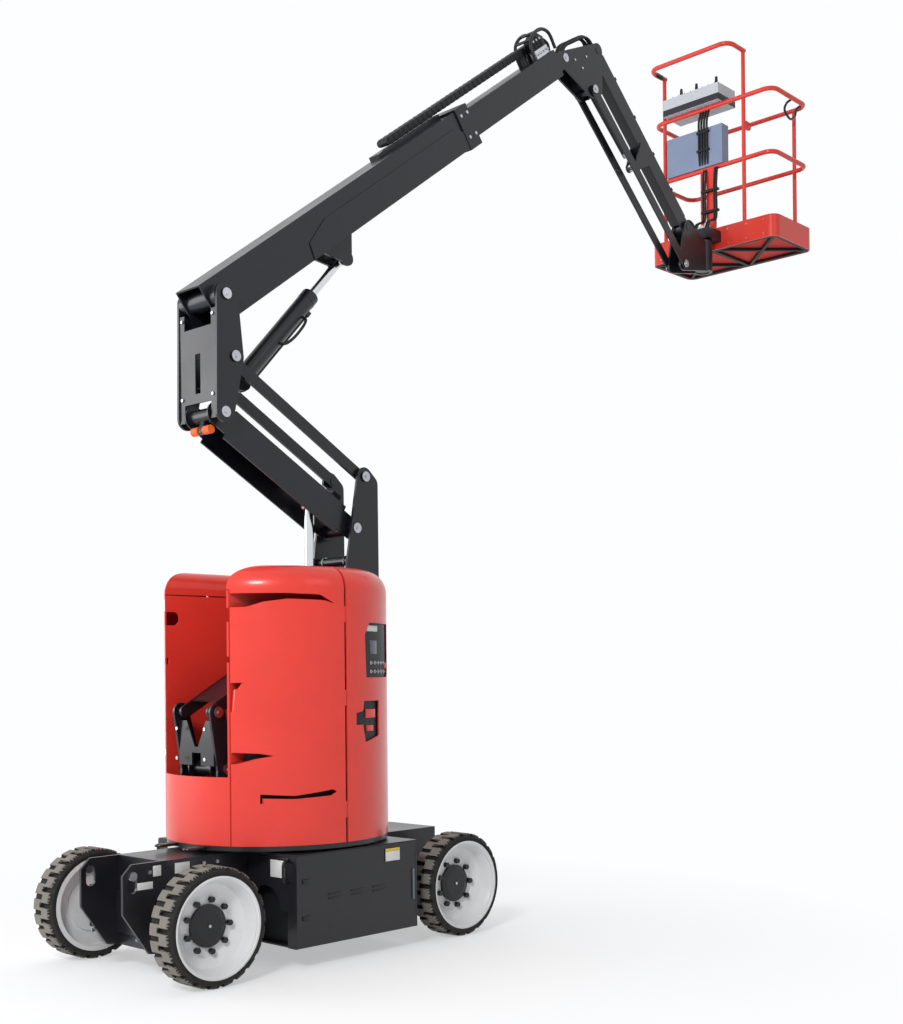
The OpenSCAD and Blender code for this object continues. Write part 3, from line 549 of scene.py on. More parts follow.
@dataclass
class Dress:
    """A sub-assembly that gets its fittings.

    Attributes:
        machine: Shared nodes, pivots and materials.
    """

    machine: Machine

    def fit(self, forge: Forge, finish: Finish, body: str) -> None:
        """Give gathered solids their finish and let them ride a body.

        Args:
            forge: The gathered solids.
            finish: Finish of the piece.
            body: CAD body that it moves with.
        """
        forge.done(self.machine.paint(finish), body)


@dataclass
class WheelDress(Dress):
    """Nuts, hub bolt and tyre dressing of one wheel.

    Attributes:
        tag: Two letters that name the wheel's corner.
        nut_count: Number of wheel nuts.
        nut_circle: Radius of the nut circle.
        nut_radius: Radius over the corners of a nut.
        nut_high: Height of a nut.
        dish: Place of the dish face from the wheel's middle plane, outwards.
        hub_high: Height of the hub disc above the dish face.
        hub_radius: Radius of the hub disc.
        tread_radius: Outer radius of the tread.
        half_width: Half of the tyre's width.
        cut_count: Number of cuts round the tread.
        cut_size: Length, width and depth of the block that shows a cut.
    """

    tag: str
    nut_count: int = 9
    nut_circle: float = 0.122
    nut_radius: float = 0.015
    nut_high: float = 0.022
    dish: float = -0.0175
    hub_high: float = 0.0225
    hub_radius: float = 0.1
    tread_radius: float = 0.2795
    half_width: float = 0.0825
    cut_count: int = 22
    cut_size: tuple[float, float, float] = (0.005, 0.026, 0.003)

    def __post_init__(self) -> None:
        """Find the wheel's middle, its body and its outward direction."""
        self.centre = self.machine.pivot(f"spin_{self.tag}")
        self.out = Vector((0.0, math.copysign(1.0, self.centre.y), 0.0))
        self.body = f"wheel_{self.tag}"

    def build(self) -> None:
        """Dress the wheel."""
        self._paint_faces()
        nuts = self._ring_of_nuts()
        seat = self.centre + self.out * (self.dish + self.nut_high / 2)
        nuts.data.transform(Matrix.Translation(seat) @ facing(self.out))
        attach(nuts, self.body)
        hub = Forge(f"hub_bolt_{self.tag}")
        hub.bolt(self.centre + self.out * (self.dish + self.hub_high), self.out * 0.006, 0.008)
        self.fit(hub, ZINC, self.body)
        walls = Forge(f"sidewall_rings_{self.tag}")
        for side in SIDES:
            wall = self.centre + self.out * side * self.half_width
            for radius, thick in ((0.2475, 0.0014), (0.2545, 0.001)):
                walls.ring(wall, self.out, radius, thick)
        self.fit(walls, RUBBER, self.body)
        self._tread_cuts()

    def _paint_faces(self) -> None:
        """Give the hub disc and the tread tops their own finishes."""
        wheel = self.machine.nodes[f"wheel_{self.tag}"].data
        wheel.materials.append(self.machine.paint(BLACK_PAINT))
        for face in wheel.polygons:
            offset = face.center - self.centre
            reach = math.hypot(offset.x, offset.z)
            if reach < self.hub_radius + 0.0005 and offset.dot(self.out) > self.dish + 0.0002:
                face.material_index = 1
        tyre = self.machine.nodes[f"tyre_{self.tag}"].data
        tyre.materials.append(self.machine.paint(TREAD))
        for face in tyre.polygons:
            offset = face.center - self.centre
            if math.hypot(offset.x, offset.z) > self.tread_radius - 0.006:
                face.material_index = 1

    def _ring_of_nuts(self) -> bpy.types.Object:
        """Make the ring of six-sided nuts with Geometry Nodes, round Z in the XY plane."""
        tree = bpy.data.node_groups.new("nut ring", "GeometryNodeTree")
        tree.interface.new_socket("Geometry", in_out="OUTPUT", socket_type="NodeSocketGeometry")
        values = {}
        for name, kind, value in (
            ("Count", "NodeSocketInt", self.nut_count),
            ("Circle", "NodeSocketFloat", self.nut_circle),
            ("Radius", "NodeSocketFloat", self.nut_radius),
            ("Height", "NodeSocketFloat", self.nut_high),
        ):
            socket = tree.interface.new_socket(name, in_out="INPUT", socket_type=kind)
            values[socket.identifier] = value
        given = add_node(tree, "NodeGroupInput").outputs
        points = add_node(
            tree, "GeometryNodeMeshCircle", Vertices=given["Count"], Radius=given["Circle"]
        ).outputs["Mesh"]
        nut = add_node(
            tree, "GeometryNodeMeshCylinder", Vertices=6, Radius=given["Radius"], Depth=given["Height"]
        ).outputs["Mesh"]
        spread = add_node(tree, "GeometryNodeInstanceOnPoints", Points=points, Instance=nut)
        real = add_node(tree, "GeometryNodeRealizeInstances", Geometry=spread.outputs["Instances"])
        paint = add_node(tree, "GeometryNodeSetMaterial", Geometry=real.outputs["Geometry"])
        paint.inputs["Material"].default_value = self.machine.paint(BLACK_PAINT)
        add_node(tree, "NodeGroupOutput", Geometry=paint.outputs["Geometry"])
        name = f"wheel_nuts_{self.tag}"
        piece = bpy.data.objects.new(name, bpy.data.meshes.new(name))
        bpy.context.scene.collection.objects.link(piece)
        modifier = piece.modifiers.new("nut ring", "NODES")
        modifier.node_group = tree
        for identifier, value in values.items():
            modifier[identifier] = value
        bpy.context.view_layer.update()
        made = bpy.data.meshes.new_from_object(piece.evaluated_get(bpy.context.evaluated_depsgraph_get()))
        piece.modifiers.remove(modifier)
        piece.data = made
        return piece

    def _tread_cuts(self) -> None:
        """Lay dark zigzag cuts round the middle of the tread."""
        cuts = Forge(f"tread_cuts_{self.tag}")
        for index in range(self.cut_count):
            for part, (shift, slant) in enumerate(((-0.021, 0.6), (0.0, -0.7), (0.021, 0.6))):
                angle = 2 * math.pi * (index + 0.5 + 0.12 * part) / self.cut_count
                place = (
                    Matrix.Translation(self.centre)
                    @ Matrix.Rotation(angle, 4, "Y")
                    @ Matrix.Translation((0.0, shift, self.tread_radius - 0.0018))
                    @ Matrix.Rotation(slant, 4, "Z")
                )
                cuts.block(self.cut_size, place)
        self.fit(cuts, RUBBER, self.body)


@dataclass
class PivotCaps(Dress):
    """Retainer plates and bolts on the ends of the pivot pins.

    Attributes:
        cap_radius: Radius of the retainer plate.
        cap_thick: Thickness of the plate.
        bolt_radius: Radius over the corners of a bolt head.
        bolt_high: Height of a bolt head.
    """

    cap_radius: float = 0.02788
    cap_thick: float = 0.005
    bolt_radius: float = 0.009
    bolt_high: float = 0.006

    def build(self) -> None:
        """Cap each pin on both sides."""
        pin = self.machine.pivot
        mid_low = pin("mid_upright_pivot")
        upper = pin("upper_upright_pivot")
        link_step = pin("riser_lower_link_pivot") - pin("riser")
        upper_step = pin("riser_upper_link_pivot") - pin("riser_upper_pivot")
        jib_step = pin("jib_link_pivot") - pin("jib_lift")
        pins_and_half_widths = {
            "turntable": [(pin("riser"), 0.160), (pin("riser_lower_link_pivot"), 0.168)],
            "mid_upright": [
                (mid_low, 0.150),
                (mid_low + link_step, 0.158),
                (pin("riser_upper_pivot"), 0.150),
                (pin("riser_upper_link_pivot"), 0.158),
            ],
            "upper_upright": [(upper, 0.170), (upper + upper_step, 0.178), (pin("boom_lift"), 0.178)],
            "boom_fly": [(pin("boom_head_pivot"), 0.075)],
            "boom_head": [(pin("jib_link_pivot"), 0.079)],
            "platform_bracket": [(pin("platform_level_pivot") + jib_step, 0.079)],
        }
        for body, pins in pins_and_half_widths.items():
            caps = Forge(f"pin_caps_{body}")
            for point, half in pins:
                for side in SIDES:
                    out = Vector((0.0, side, 0.0))
                    face = Vector((point.x, side * half, point.z))
                    head = face + out * self.cap_thick
                    caps.rod(face, head, self.cap_radius)
                    caps.bolt(head, out * self.bolt_high, self.bolt_radius)
            self.fit(caps, ZINC, body)


@dataclass
class ChassisDress(Dress):
    """Blank plates, handles and small fittings of the undercarriage.

    Attributes:
        frame_side: Y of the frame's outer face.
        door_side: Y of a battery door's flat face.
        plate_thick: Thickness of a blank plate.
        plate_edge: Edge radius of a blank plate.
        handle_side: Y of the loop handles.
        pipe_radius: Radius of the loop handles and the hub pipes.
    """

    frame_side: float = 0.19
    door_side: float = 0.585
    plate_thick: float = 0.002
    plate_edge: float = 0.0006
    handle_side: float = 0.53
    pipe_radius: float = 0.007

    def build(self) -> None:
        """Build the fittings."""
        self._plates()
        self._box_handles()
        self._frame_bolts()
        for tag, side in (("r", -1), ("l", 1)):
            self._door(tag, side)
        self._hub_pipes()

    def _plates(self) -> None:
        """Fix bare plates where the photo has printed ones."""
        thick = self.plate_thick
        plates = Forge("blank_plates_chassis")
        for side in SIDES:
            y = side * (self.frame_side + thick / 2)
            for x, z, wide, tall in (
                (-0.955, 0.448, 0.085, 0.034),
                (-0.888, 0.512, 0.045, 0.05),
                (-0.745, 0.512, 0.085, 0.05),
            ):
                plates.block((wide, thick, tall), Vector((x, y, z)), self.plate_edge)
        low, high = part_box("side_box_r")
        for side in SIDES:
            place = Vector((low.x - thick / 2, side * 0.44, high.z - 0.075))
            plates.block((thick, 0.11, 0.085), place, self.plate_edge)
        self.fit(plates, PLATE_WHITE, "chassis")

    def _box_handles(self) -> None:
        """Add the loop handles and hook bars on the ends of the side boxes."""
        low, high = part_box("side_box_r")
        course = ((0.0, 0.03), (0.03, 0.032), (0.038, 0.05), (0.038, 0.11), (0.03, 0.128), (0.0, 0.13))
        loops = Forge("box_end_handles")
        for side in SIDES:
            y = side * self.handle_side
            points = [Vector((low.x - back, y, high.z - drop)) for back, drop in course]
            loops.hose(points, self.pipe_radius)
            bar_end = Vector((low.x - 0.004, y, high.z - 0.02))
            loops.rod(Vector((bar_end.x, side * 0.3, bar_end.z)), bar_end, 0.004)
        self.fit(loops, BLACK_PAINT, "chassis")

    def _frame_bolts(self) -> None:
        """Bolt the frame's sides and set the round pin in the front slot."""
        bolts = Forge("frame_bolts")
        for side in SIDES:
            out = Vector((0.0, side, 0.0))
            for x, z in ((-0.93, 0.51), (-1.0, 0.2), (-0.7, 0.2), (-0.62, 0.52), (-0.54, 0.52)):
                bolts.bolt(Vector((x, side * self.frame_side, z)), out * 0.007, 0.01)
            pin = Vector((-1.023, side * (self.frame_side - 0.004), 0.5))
            bolts.rod(pin, pin + out * 0.014, 0.021)
        self.fit(bolts, ZINC, "chassis")

    def _door(self, tag: str, side: int) -> None:
        """Fit latches, vent bars, a bare two-tone plate and a pull strip to a battery door.

        Args:
            tag: Letter of the door's side.
            side: Sign of Y.
        """
        body = f"battery_door_{tag}"
        low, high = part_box(body)
        latch = Forge(f"door_latch_{tag}")
        latch_y = side * self.door_side + side * 0.0025
        vent_y = side * self.door_side + side * 0.0015
        for z in (0.25, 0.43):
            latch.block((0.05, 0.006, 0.022), Vector((low.x + 0.06, latch_y, z)), 0.002)
        for ahead in (0.25, 0.4, 0.55):
            for z in (0.33, 0.35):
                latch.block((0.1, 0.004, 0.008), Vector((low.x + ahead, vent_y, z)), 0.001)
        self.fit(latch, BLACK_PAINT, body)
        y = side * (max(abs(low.y), abs(high.y)) + self.plate_thick / 2)
        x = low.x + 0.78 * (high.x - low.x)
        for name, finish, tall, drop in (
            ("door_plate", PLATE_WHITE, 0.05, 0.06),
            ("door_plate_strip", PLATE_YELLOW, 0.014, 0.027),
        ):
            plate = Forge(f"{name}_{tag}")
            plate.block((0.1, self.plate_thick, tall), Vector((x, y, high.z - drop)), self.plate_edge)
            self.fit(plate, finish, body)
        pull = Forge(f"door_pull_{tag}")
        pull.block((0.012, 0.004, 0.16), Vector((high.x - 0.03, y, (low.z + high.z) / 2)), 0.001)
        self.fit(pull, SLATE, body)

    def _hub_pipes(self) -> None:
        """Run pipes from the frame to the drive hubs."""
        course = (
            (0.74, 0.19, 0.42),
            (0.735, 0.24, 0.42),
            (0.745, 0.29, 0.40),
            (0.765, 0.31, 0.36),
            (0.785, 0.32, 0.33),
        )
        pipes = Forge("drive_hub_pipes")
        for side in SIDES:
            for step in (0.0, 0.022):
                pipes.hose([Vector((x - step, side * y, z)) for x, y, z in course], self.pipe_radius)
        self.fit(pipes, HOSE, "chassis")


@dataclass
class TurntableDress(Dress):
    """Control panel, latches and lugs of the turntable.

    Attributes:
        panel_radius: Distance of the panel's face from the slewing axis.
        skin_radius: Distance of the latch bodies from the slewing axis.
    """

    panel_radius: float = 0.5757
    skin_radius: float = 0.568

    def build(self) -> None:
        """Build the panel, the latches and the lugs."""
        self._panel()
        self._latches()
        self._lugs()

    @staticmethod
    def _on_drum(x: float, z: float, reach: float, side: int = -1) -> Matrix:
        """Matrix on the drum with X along the skin and Y outwards.

        Args:
            x: Place along X.
            z: Height.
            reach: Distance from the slewing axis.
            side: Sign of Y.

        Returns:
            The matrix.
        """
        y = side * math.sqrt(reach * reach - x * x)
        return turned(Vector((x, y, z)), 0.0, math.atan2(y, x) - math.pi / 2)

    def _peg(
        self, forge: Forge, spot: tuple[float, float], span: tuple[float, float], radius: float, *shape: float
    ) -> None:
        """Stand a round peg on the control panel.

        Args:
            forge: Piece that gets the peg.
            spot: Place along X, and height.
            span: Where the peg starts and ends, outwards.
            radius: Radius at the start.
            shape: Number of sides, and radius at the end.
        """
        place = self._on_drum(*spot, self.panel_radius - 0.004)
        out = place.to_3x3() @ Vector((0.0, 1.0, 0.0))
        forge.rod(place.translation + out * span[0], place.translation + out * span[1], radius, *shape)

    def _panel(self) -> None:
        """Set the switches, the screen and the stop button on the control panel."""
        keys = Forge("panel_switches")
        for z in (1.45, 1.495):
            for x in (0.17, 0.21, 0.25, 0.29, 0.33):
                self._peg(keys, (x, z), (0.0, 0.007), 0.009, 16)
                self._peg(keys, (x, z), (0.0, 0.016), 0.0035, 10)
        self.fit(keys, ZINC, "turntable")
        face = self.panel_radius - 0.002
        display = Forge("panel_display")
        display.block((0.075, 0.006, 0.07), self._on_drum(0.2, 1.575, face), 0.002)
        self.fit(display, DISPLAY_BLUE, "turntable")
        plate = Forge("panel_blank_plate")
        plate.block((0.11, 0.005, 0.03), self._on_drum(0.19, 1.672, face), 0.001)
        self.fit(plate, PLATE_WHITE, "turntable")
        stop = Forge("panel_stop_button")
        self._peg(stop, (0.35, 1.48), (0.0, 0.012), 0.009)
        self._peg(stop, (0.35, 1.48), (0.005, 0.0125), 0.017, 24, 0.014)
        self.fit(stop, RAIL_RED, "turntable")

    def _latches(self) -> None:
        """Close the latch openings with black latch bodies and red handles."""
        bodies = Forge("cover_latch_bodies")
        grips = Forge("cover_latch_grips")
        for side in SIDES:
            for x in (0.06, 0.1, 0.14, 0.18, 0.22):
                bodies.block((0.044, 0.006, 0.24), self._on_drum(x, 1.195, self.skin_radius, side))
            grips.block((0.09, 0.012, 0.045), self._on_drum(0.165, 1.235, 0.572, side), 0.003)
            grips.block((0.06, 0.01, 0.03), self._on_drum(0.16, 1.16, 0.573, side), 0.003)
        self.fit(bodies, BLACK_PLASTIC, "turntable")
        self.fit(grips, COVER_RED, "turntable")
        inner = Forge("cover_inner_panel_left")
        for x in (0.13, 0.19, 0.25, 0.31, 0.37):
            inner.block((0.075, 0.006, 0.3), self._on_drum(x, 1.56, self.skin_radius, 1))
        self.fit(inner, BLACK_PLASTIC, "turntable")

    def _lugs(self) -> None:
        """Add the deck's lock lugs and the bolts of the bracket plate."""
        lug = Forge("deck_lock_lug")
        for y in (-0.12, 0.12):
            lug.block((0.09, 0.05, 0.014), Vector((-0.615, y, 0.584)), 0.004)
            lug.ring(Vector((-0.662, y, 0.584)), UP, 0.02, 0.007, 32)
        self.fit(lug, NAVY, "turntable")
        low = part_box("base_bracket")[0]
        bolts = Forge("bracket_plate_bolts")
        for y in (-0.118, 0.118):
            for z in (1.02, 1.17):
                bolts.bolt(Vector((low.x, y, z)), BACK * 0.007, 0.01)
        self.fit(bolts, ZINC, "turntable")


@dataclass
class RiserDress(Dress):
    """Stop pads, pipes and small fittings of the riser.

    Attributes:
        pad_radius: Radius of a stop pad.
        pad_reach: Distance of the pads from the arm pin.
        pad_angle: Direction of the pads from the arm pin, in degrees above level.
        hose_radius: Radius of the hoses on the arms.
    """

    pad_radius: float = 0.022
    pad_reach: float = 0.08
    pad_angle: float = -105.0
    hose_radius: float = 0.008

    def build(self) -> None:
        """Build the fittings."""
        self._pads()
        self._lower_arm()
        self._cylinder_pipe()
        self._upper_arm()
        self._uprights()

    def _pads(self) -> None:
        """Hang the two stop pads under the heel of the upper arm."""
        heel = self.machine.pivot("upper_upright_pivot")
        drop = math.radians(self.pad_angle)
        centre = along(heel, drop, self.pad_reach)
        pads = Forge("stop_pads")
        for side in SIDES:
            out = Vector((0.0, side, 0.0))
            pads.rod(centre + out * 0.022, centre + out * 0.075, self.pad_radius)
        self.fit(pads, PAD_ORANGE, "riser_upper_arm")
        stem = Forge("stop_pad_stem")
        stem.block((0.03, 0.04, 0.07), turned(along(heel, drop, 0.062), drop + math.pi / 2), 0.003)
        self.fit(stem, NAVY, "riser_upper_arm")

    def _lower_arm(self) -> None:
        """Run hoses along the lower arm."""
        base = self.machine.pivot("riser")
        angle = heading(base, self.machine.pivot("mid_upright_pivot"))
        hoses = Forge("lower_arm_hoses")
        for side in (-0.05, -0.025, 0.0):
            course = (0.12, 0.3, 0.5, 0.7, 0.92)
            hoses.hose([along(base, angle, s, -0.05, side) for s in course], self.hose_radius)
        self.fit(hoses, HOSE, "riser_lower_arm")

    def _cylinder_pipe(self) -> None:
        """Pipe the riser cylinder from port to port."""
        foot = self.machine.pivot("riser_barrel_pivot")
        pipe = Forge("riser_cylinder_pipe")
        pipe.hose([foot + Vector((-0.052, 0.0, z)) for z in (0.06, 0.2, 0.4, 0.6)], 0.006)
        for z in (0.07, 0.59):
            pipe.block((0.03, 0.024, 0.03), foot + Vector((-0.048, 0.0, z)), 0.003)
        self.fit(pipe, ZINC, "riser_barrel")

    def _upper_arm(self) -> None:
        """Run hoses along the upper arm and ring its level cylinder."""
        top = self.machine.pivot("riser_upper_pivot")
        angle = heading(top, self.machine.pivot("upper_upright_pivot"))
        hoses = Forge("upper_arm_hoses")
        for side in (-0.06, -0.035):
            course = (0.42, 0.54, 0.66, 0.78, 0.9)
            hoses.hose([along(top, angle, s, 0.045, side) for s in course], self.hose_radius)
        self.fit(hoses, HOSE, "riser_upper_arm")
        ends = Forge("level_cylinder_fittings")
        ends.rod(along(top, angle, 0.2, -0.1255), along(top, angle, 0.225, -0.124), 0.021)
        ends.rod(along(top, angle, 0.43, -0.1115), along(top, angle, 0.448, -0.1103), 0.02)
        self.fit(ends, ZINC, "riser_upper_arm")

    def _uprights(self) -> None:
        """Bolt the upper upright's back plate and set the rings on the mid upright."""
        foot = self.machine.pivot("upper_upright_pivot")
        top = self.machine.pivot("boom_lift")
        bolts = Forge("upright_bolts")
        for y in (-0.13, 0.13):
            for z in (foot.z + 0.09, top.z - 0.1):
                bolts.bolt(Vector((foot.x - 0.046, y, z)), BACK * 0.007, 0.009)
        self.fit(bolts, ZINC, "upper_upright")
        cross = self.machine.pivot("riser_upper_pivot") + Vector((-0.025, 0.0, -0.18))
        rings = Forge("mid_upright_rings")
        for y in (-0.09, 0.09):
            rings.ring(cross + Vector((0.0, y, 0.0)), Vector((0.0, 1.0, 0.0)), 0.026, 0.005, 40)
        self.fit(rings, ZINC, "mid_upright")


@dataclass
class BoomDress(Dress):
    """Collar bolts, hoses, valve block and fittings of the boom.

    Attributes:
        collar_side: Y of the collar's outer face.
        tube_side: Y of the outer boom's side.
        mouth: Distance of the wear pads from the boom pivot.
        axis_drop: Distance of the tubes' axis below the boom pivot.
        block_at: Distance of the valve block from the boom pivot.
        block_side: Y of the valve block's middle.
        carrier_span: Distances of the first and last carrier link from the boom pivot.
        link_count: Number of carrier links.
        guard_span: Y of the guard's two arches.
        barrel_rise: Level and upward part of the boom cylinder's direction.
    """

    collar_side: float = 0.11
    tube_side: float = 0.1
    mouth: float = 2.396
    axis_drop: float = 0.02
    block_at: float = 3.36
    block_side: float = -0.045
    carrier_span: tuple[float, float] = (1.77, 3.24)
    link_count: int = 30
    guard_span: tuple[float, float] = (-0.068, 0.062)
    barrel_rise: tuple[float, float] = (0.669057, 0.743211)

    def __post_init__(self) -> None:
        """Find the boom's pivot and its angle above level."""
        self.pivot = self.machine.pivot("boom_lift")
        head = self.machine.pivot("boom_head_pivot")
        self.angle = heading(self.pivot, head) + math.asin(self.axis_drop / (head - self.pivot).length)

    def build(self) -> None:
        """Build the fittings."""
        self._collar()
        self._carrier()
        self._valves()
        self._guard()
        self._cylinder()
        self._head()

    def _at(self, ahead: float, across: float, side: float = 0.0) -> Vector:
        """Point on the boom.

        Args:
            ahead: Distance from the pivot along the boom.
            across: Distance above the pivot, square to the boom.
            side: Offset along Y.

        Returns:
            The point.
        """
        return along(self.pivot, self.angle, ahead, across, side)

    def _collar(self) -> None:
        """Bolt the front collar and line its mouth with wear pads."""
        bolts = Forge("collar_bolts")
        for side in SIDES:
            out = Vector((0.0, side, 0.0))
            for s, t in ((2.30, 0.055), (2.365, 0.055), (2.30, -0.075), (2.365, -0.075)):
                bolts.bolt(self._at(s, t, side * self.collar_side), out * 0.007, 0.011)
            for s in (0.75, 1.1, 1.5, 1.9):
                bolts.bolt(self._at(s, -0.05, side * self.tube_side), out * 0.004, 0.007)
        self.fit(bolts, ZINC, "boom_outer")
        pads = Forge("wear_pads")
        for size, across, side in (
            ((0.014, 0.022, 0.16), -0.02, -0.089),
            ((0.014, 0.022, 0.16), -0.02, 0.089),
            ((0.014, 0.15, 0.02), 0.079, 0.0),
            ((0.014, 0.15, 0.02), -0.119, 0.0),
        ):
            pads.block(size, turned(self._at(self.mouth, across, side), self.angle), 0.002)
        self.fit(pads, GREY_PLASTIC, "boom_outer")

    def _carrier(self) -> None:
        """Mark the links of the hose carrier and lead its hoses into the fly boom."""
        low, high = self.carrier_span
        links = Forge("carrier_links")
        for index in range(self.link_count):
            s = low + (high - low) * index / (self.link_count - 1)
            links.block((0.034, 0.086, 0.046), turned(self._at(s, 0.151, 0.04), self.angle), 0.003)
        self.fit(links, BLACK_PLASTIC, "boom_fly")
        course = ((3.40, 0.165), (3.45, 0.17), (3.52, 0.15), (3.56, 0.105), (3.55, 0.06))
        hoses = Forge("fly_hoses")
        for side in (0.012, 0.034, 0.056):
            hoses.hose([self._at(s, t, side) for s, t in course], 0.01)
        self.fit(hoses, HOSE, "boom_fly")

    def _valves(self) -> None:
        """Set the valve block with its coils on the fly boom's end."""
        y = self.block_side
        block = Forge("valve_block")
        block.block((0.15, 0.05, 0.055), turned(self._at(self.block_at, 0.093, y), self.angle), 0.003)
        self.fit(block, ALUMINIUM, "boom_fly")
        coils = Forge("valve_coils")
        tips = Forge("valve_tips")
        for index in range(4):
            s = self.block_at - 0.055 + index * 0.037
            coil_top = self._at(s, 0.165, y)
            coils.rod(self._at(s, 0.12, y), coil_top, 0.015, 16)
            tips.rod(coil_top, self._at(s, 0.178, y), 0.008, 12)
            tips.bolt(self._at(s, 0.093, y - 0.025), Vector((0.0, -0.012, 0.0)), 0.008)
        self.fit(coils, BLACK_PLASTIC, "boom_fly")
        self.fit(tips, ZINC, "boom_fly")

    def _guard(self) -> None:
        """Arch a tube guard with a middle plate over the valve block."""
        rises = ((-0.1, 0.066), (-0.098, 0.14), (-0.06, 0.196), (0.015, 0.22))
        falls = ((0.09, 0.212), (0.145, 0.165), (0.15, 0.066))
        arch = [(self.block_at + s, t) for s, t in rises + falls]
        guard = Forge("valve_guard")
        for side in self.guard_span:
            guard.hose([self._at(s, t, side) for s, t in arch], 0.011)
        near, far = self.guard_span
        for s, t in arch[2:5]:
            guard.rod(self._at(s, t, near), self._at(s, t, far), 0.009)
        plane = turned(self.pivot, self.angle) @ Matrix.Rotation(math.pi / 2, 4, "X")
        guard.outline(list(reversed(arch)), 0.006, 0.012, plane)
        self.fit(guard, BLACK_PAINT, "boom_fly")

    def _cylinder(self) -> None:
        """Fit ports, a pipe and a hose loop to the boom lift cylinder."""
        foot = self.machine.pivot("boom_barrel_pivot")
        level, rise = self.barrel_rise
        angle = math.atan2(rise, level)
        pipe = Forge("boom_cylinder_pipe")
        pipe.hose([along(foot, angle, s, -0.056) for s in (0.1, 0.25, 0.45, 0.66)], 0.007)
        for s in (0.1, 0.66):
            pipe.block((0.035, 0.03, 0.03), turned(along(foot, angle, s, -0.05), angle), 0.003)
        pipe.rod(along(foot, angle, 0.7), along(foot, angle, 0.752), 0.0495, 32)
        self.fit(pipe, NAVY, "boom_barrel")
        course = (
            (0.36, -0.028, -0.04),
            (0.375, -0.04, -0.07),
            (0.43, -0.045, -0.088),
            (0.52, -0.045, -0.085),
            (0.575, -0.04, -0.068),
            (0.59, -0.028, -0.04),
        )
        loop = Forge("boom_cylinder_hose")
        loop.hose([along(foot, angle, s, t, side) for s, t, side in course], 0.008)
        self.fit(loop, HOSE, "boom_barrel")

    def _head(self) -> None:
        """Loop hoses over the boom head and bolt its plates."""
        head = self.machine.pivot("boom_head_pivot")
        jib = self.machine.pivot("jib_lift")
        course = ((0.06, 0.115), (0.15, 0.175), (0.25, 0.235), (0.31, 0.24))
        hoses = Forge("head_hoses")
        for index, side in enumerate((-0.026, -0.006, 0.014, 0.032)):
            lift = 0.012 * (index % 2)
            points = [head + Vector((x, side, z + lift)) for x, z in course]
            points.insert(0, head + Vector((0.02, side, 0.05)))
            points.append(jib + Vector((-0.02, side, 0.035)))
            hoses.hose(points, 0.0095)
        self.fit(hoses, HOSE, "boom_head")
        bolts = Forge("head_bolts")
        for side in SIDES:
            for x, z in ((0.12, 0.03), (0.2, 0.0), (0.24, 0.09)):
                face = Vector((head.x + x, side * 0.057, head.z + z))
                bolts.bolt(face, Vector((0.0, side * 0.006, 0.0)), 0.009)
        self.fit(bolts, ZINC, "boom_head")


@dataclass
class JibDress(Dress):
    """Hoses, clips and cylinder fittings of the jib.

    Attributes:
        hose_radius: Radius of the hoses on the arm.
        bracket_hose_radius: Radius of the hoses at the level bracket.
        barrel_rise: Level and upward part of the jib cylinder's direction.
    """

    hose_radius: float = 0.009
    bracket_hose_radius: float = 0.0095
    barrel_rise: tuple[float, float] = (0.76831, -0.640078)

    def build(self) -> None:
        """Build the fittings."""
        start = self.machine.pivot("jib_lift")
        end = self.machine.pivot("platform_level_pivot")
        angle = heading(start, end)
        course = (0.1, 0.35, 0.6, 0.85, 1.1, 1.34)
        hoses = Forge("jib_hoses")
        for side, across in ((-0.02, 0.064), (0.0, 0.066), (0.02, 0.064)):
            hoses.hose([along(start, angle, s, across, side) for s in course], self.hose_radius)
        self.fit(hoses, HOSE, "jib_arm")
        clips = Forge("jib_clips")
        for s in (0.25, 0.55, 0.85, 1.15):
            clips.block((0.025, 0.07, 0.022), turned(along(start, angle, s, 0.065), angle), 0.004)
        self.fit(clips, BLACK_PLASTIC, "jib_arm")
        self._cylinder()
        self._bracket(end)

    def _cylinder(self) -> None:
        """Fit the jib cylinder's gland and ports."""
        foot = self.machine.pivot("jib_barrel_pivot")
        level, rise = self.barrel_rise
        angle = math.atan2(rise, level)
        gland = Forge("jib_cylinder_gland")
        gland.rod(along(foot, angle, 0.49), along(foot, angle, 0.524), 0.0335, 28)
        for s in (0.07, 0.46):
            gland.rod(along(foot, angle, s, 0.026), along(foot, angle, s, 0.045), 0.011, 6)
        self.fit(gland, ZINC, "jib_barrel")

    def _bracket(self, end: Vector) -> None:
        """Wrap the level bracket with hoses.

        Args:
            end: Jib pin at the level bracket.
        """
        spin = self.machine.pivot("platform_rotate")
        hoses = Forge("bracket_hoses")
        for index, side in enumerate((-0.03, -0.01, 0.01, 0.03)):
            course = (
                (0.0, 0.03),
                (0.05, 0.06 - 0.008 * index),
                (0.11, 0.04 - 0.01 * index),
                (0.15, -0.04),
                (0.17, -0.12),
            )
            points = [end + Vector((x, side, z)) for x, z in course]
            points.append(Vector((spin.x - 0.07, side, spin.z - 0.12)))
            hoses.hose(points, self.bracket_hose_radius)
        self.fit(hoses, HOSE, "platform_bracket")


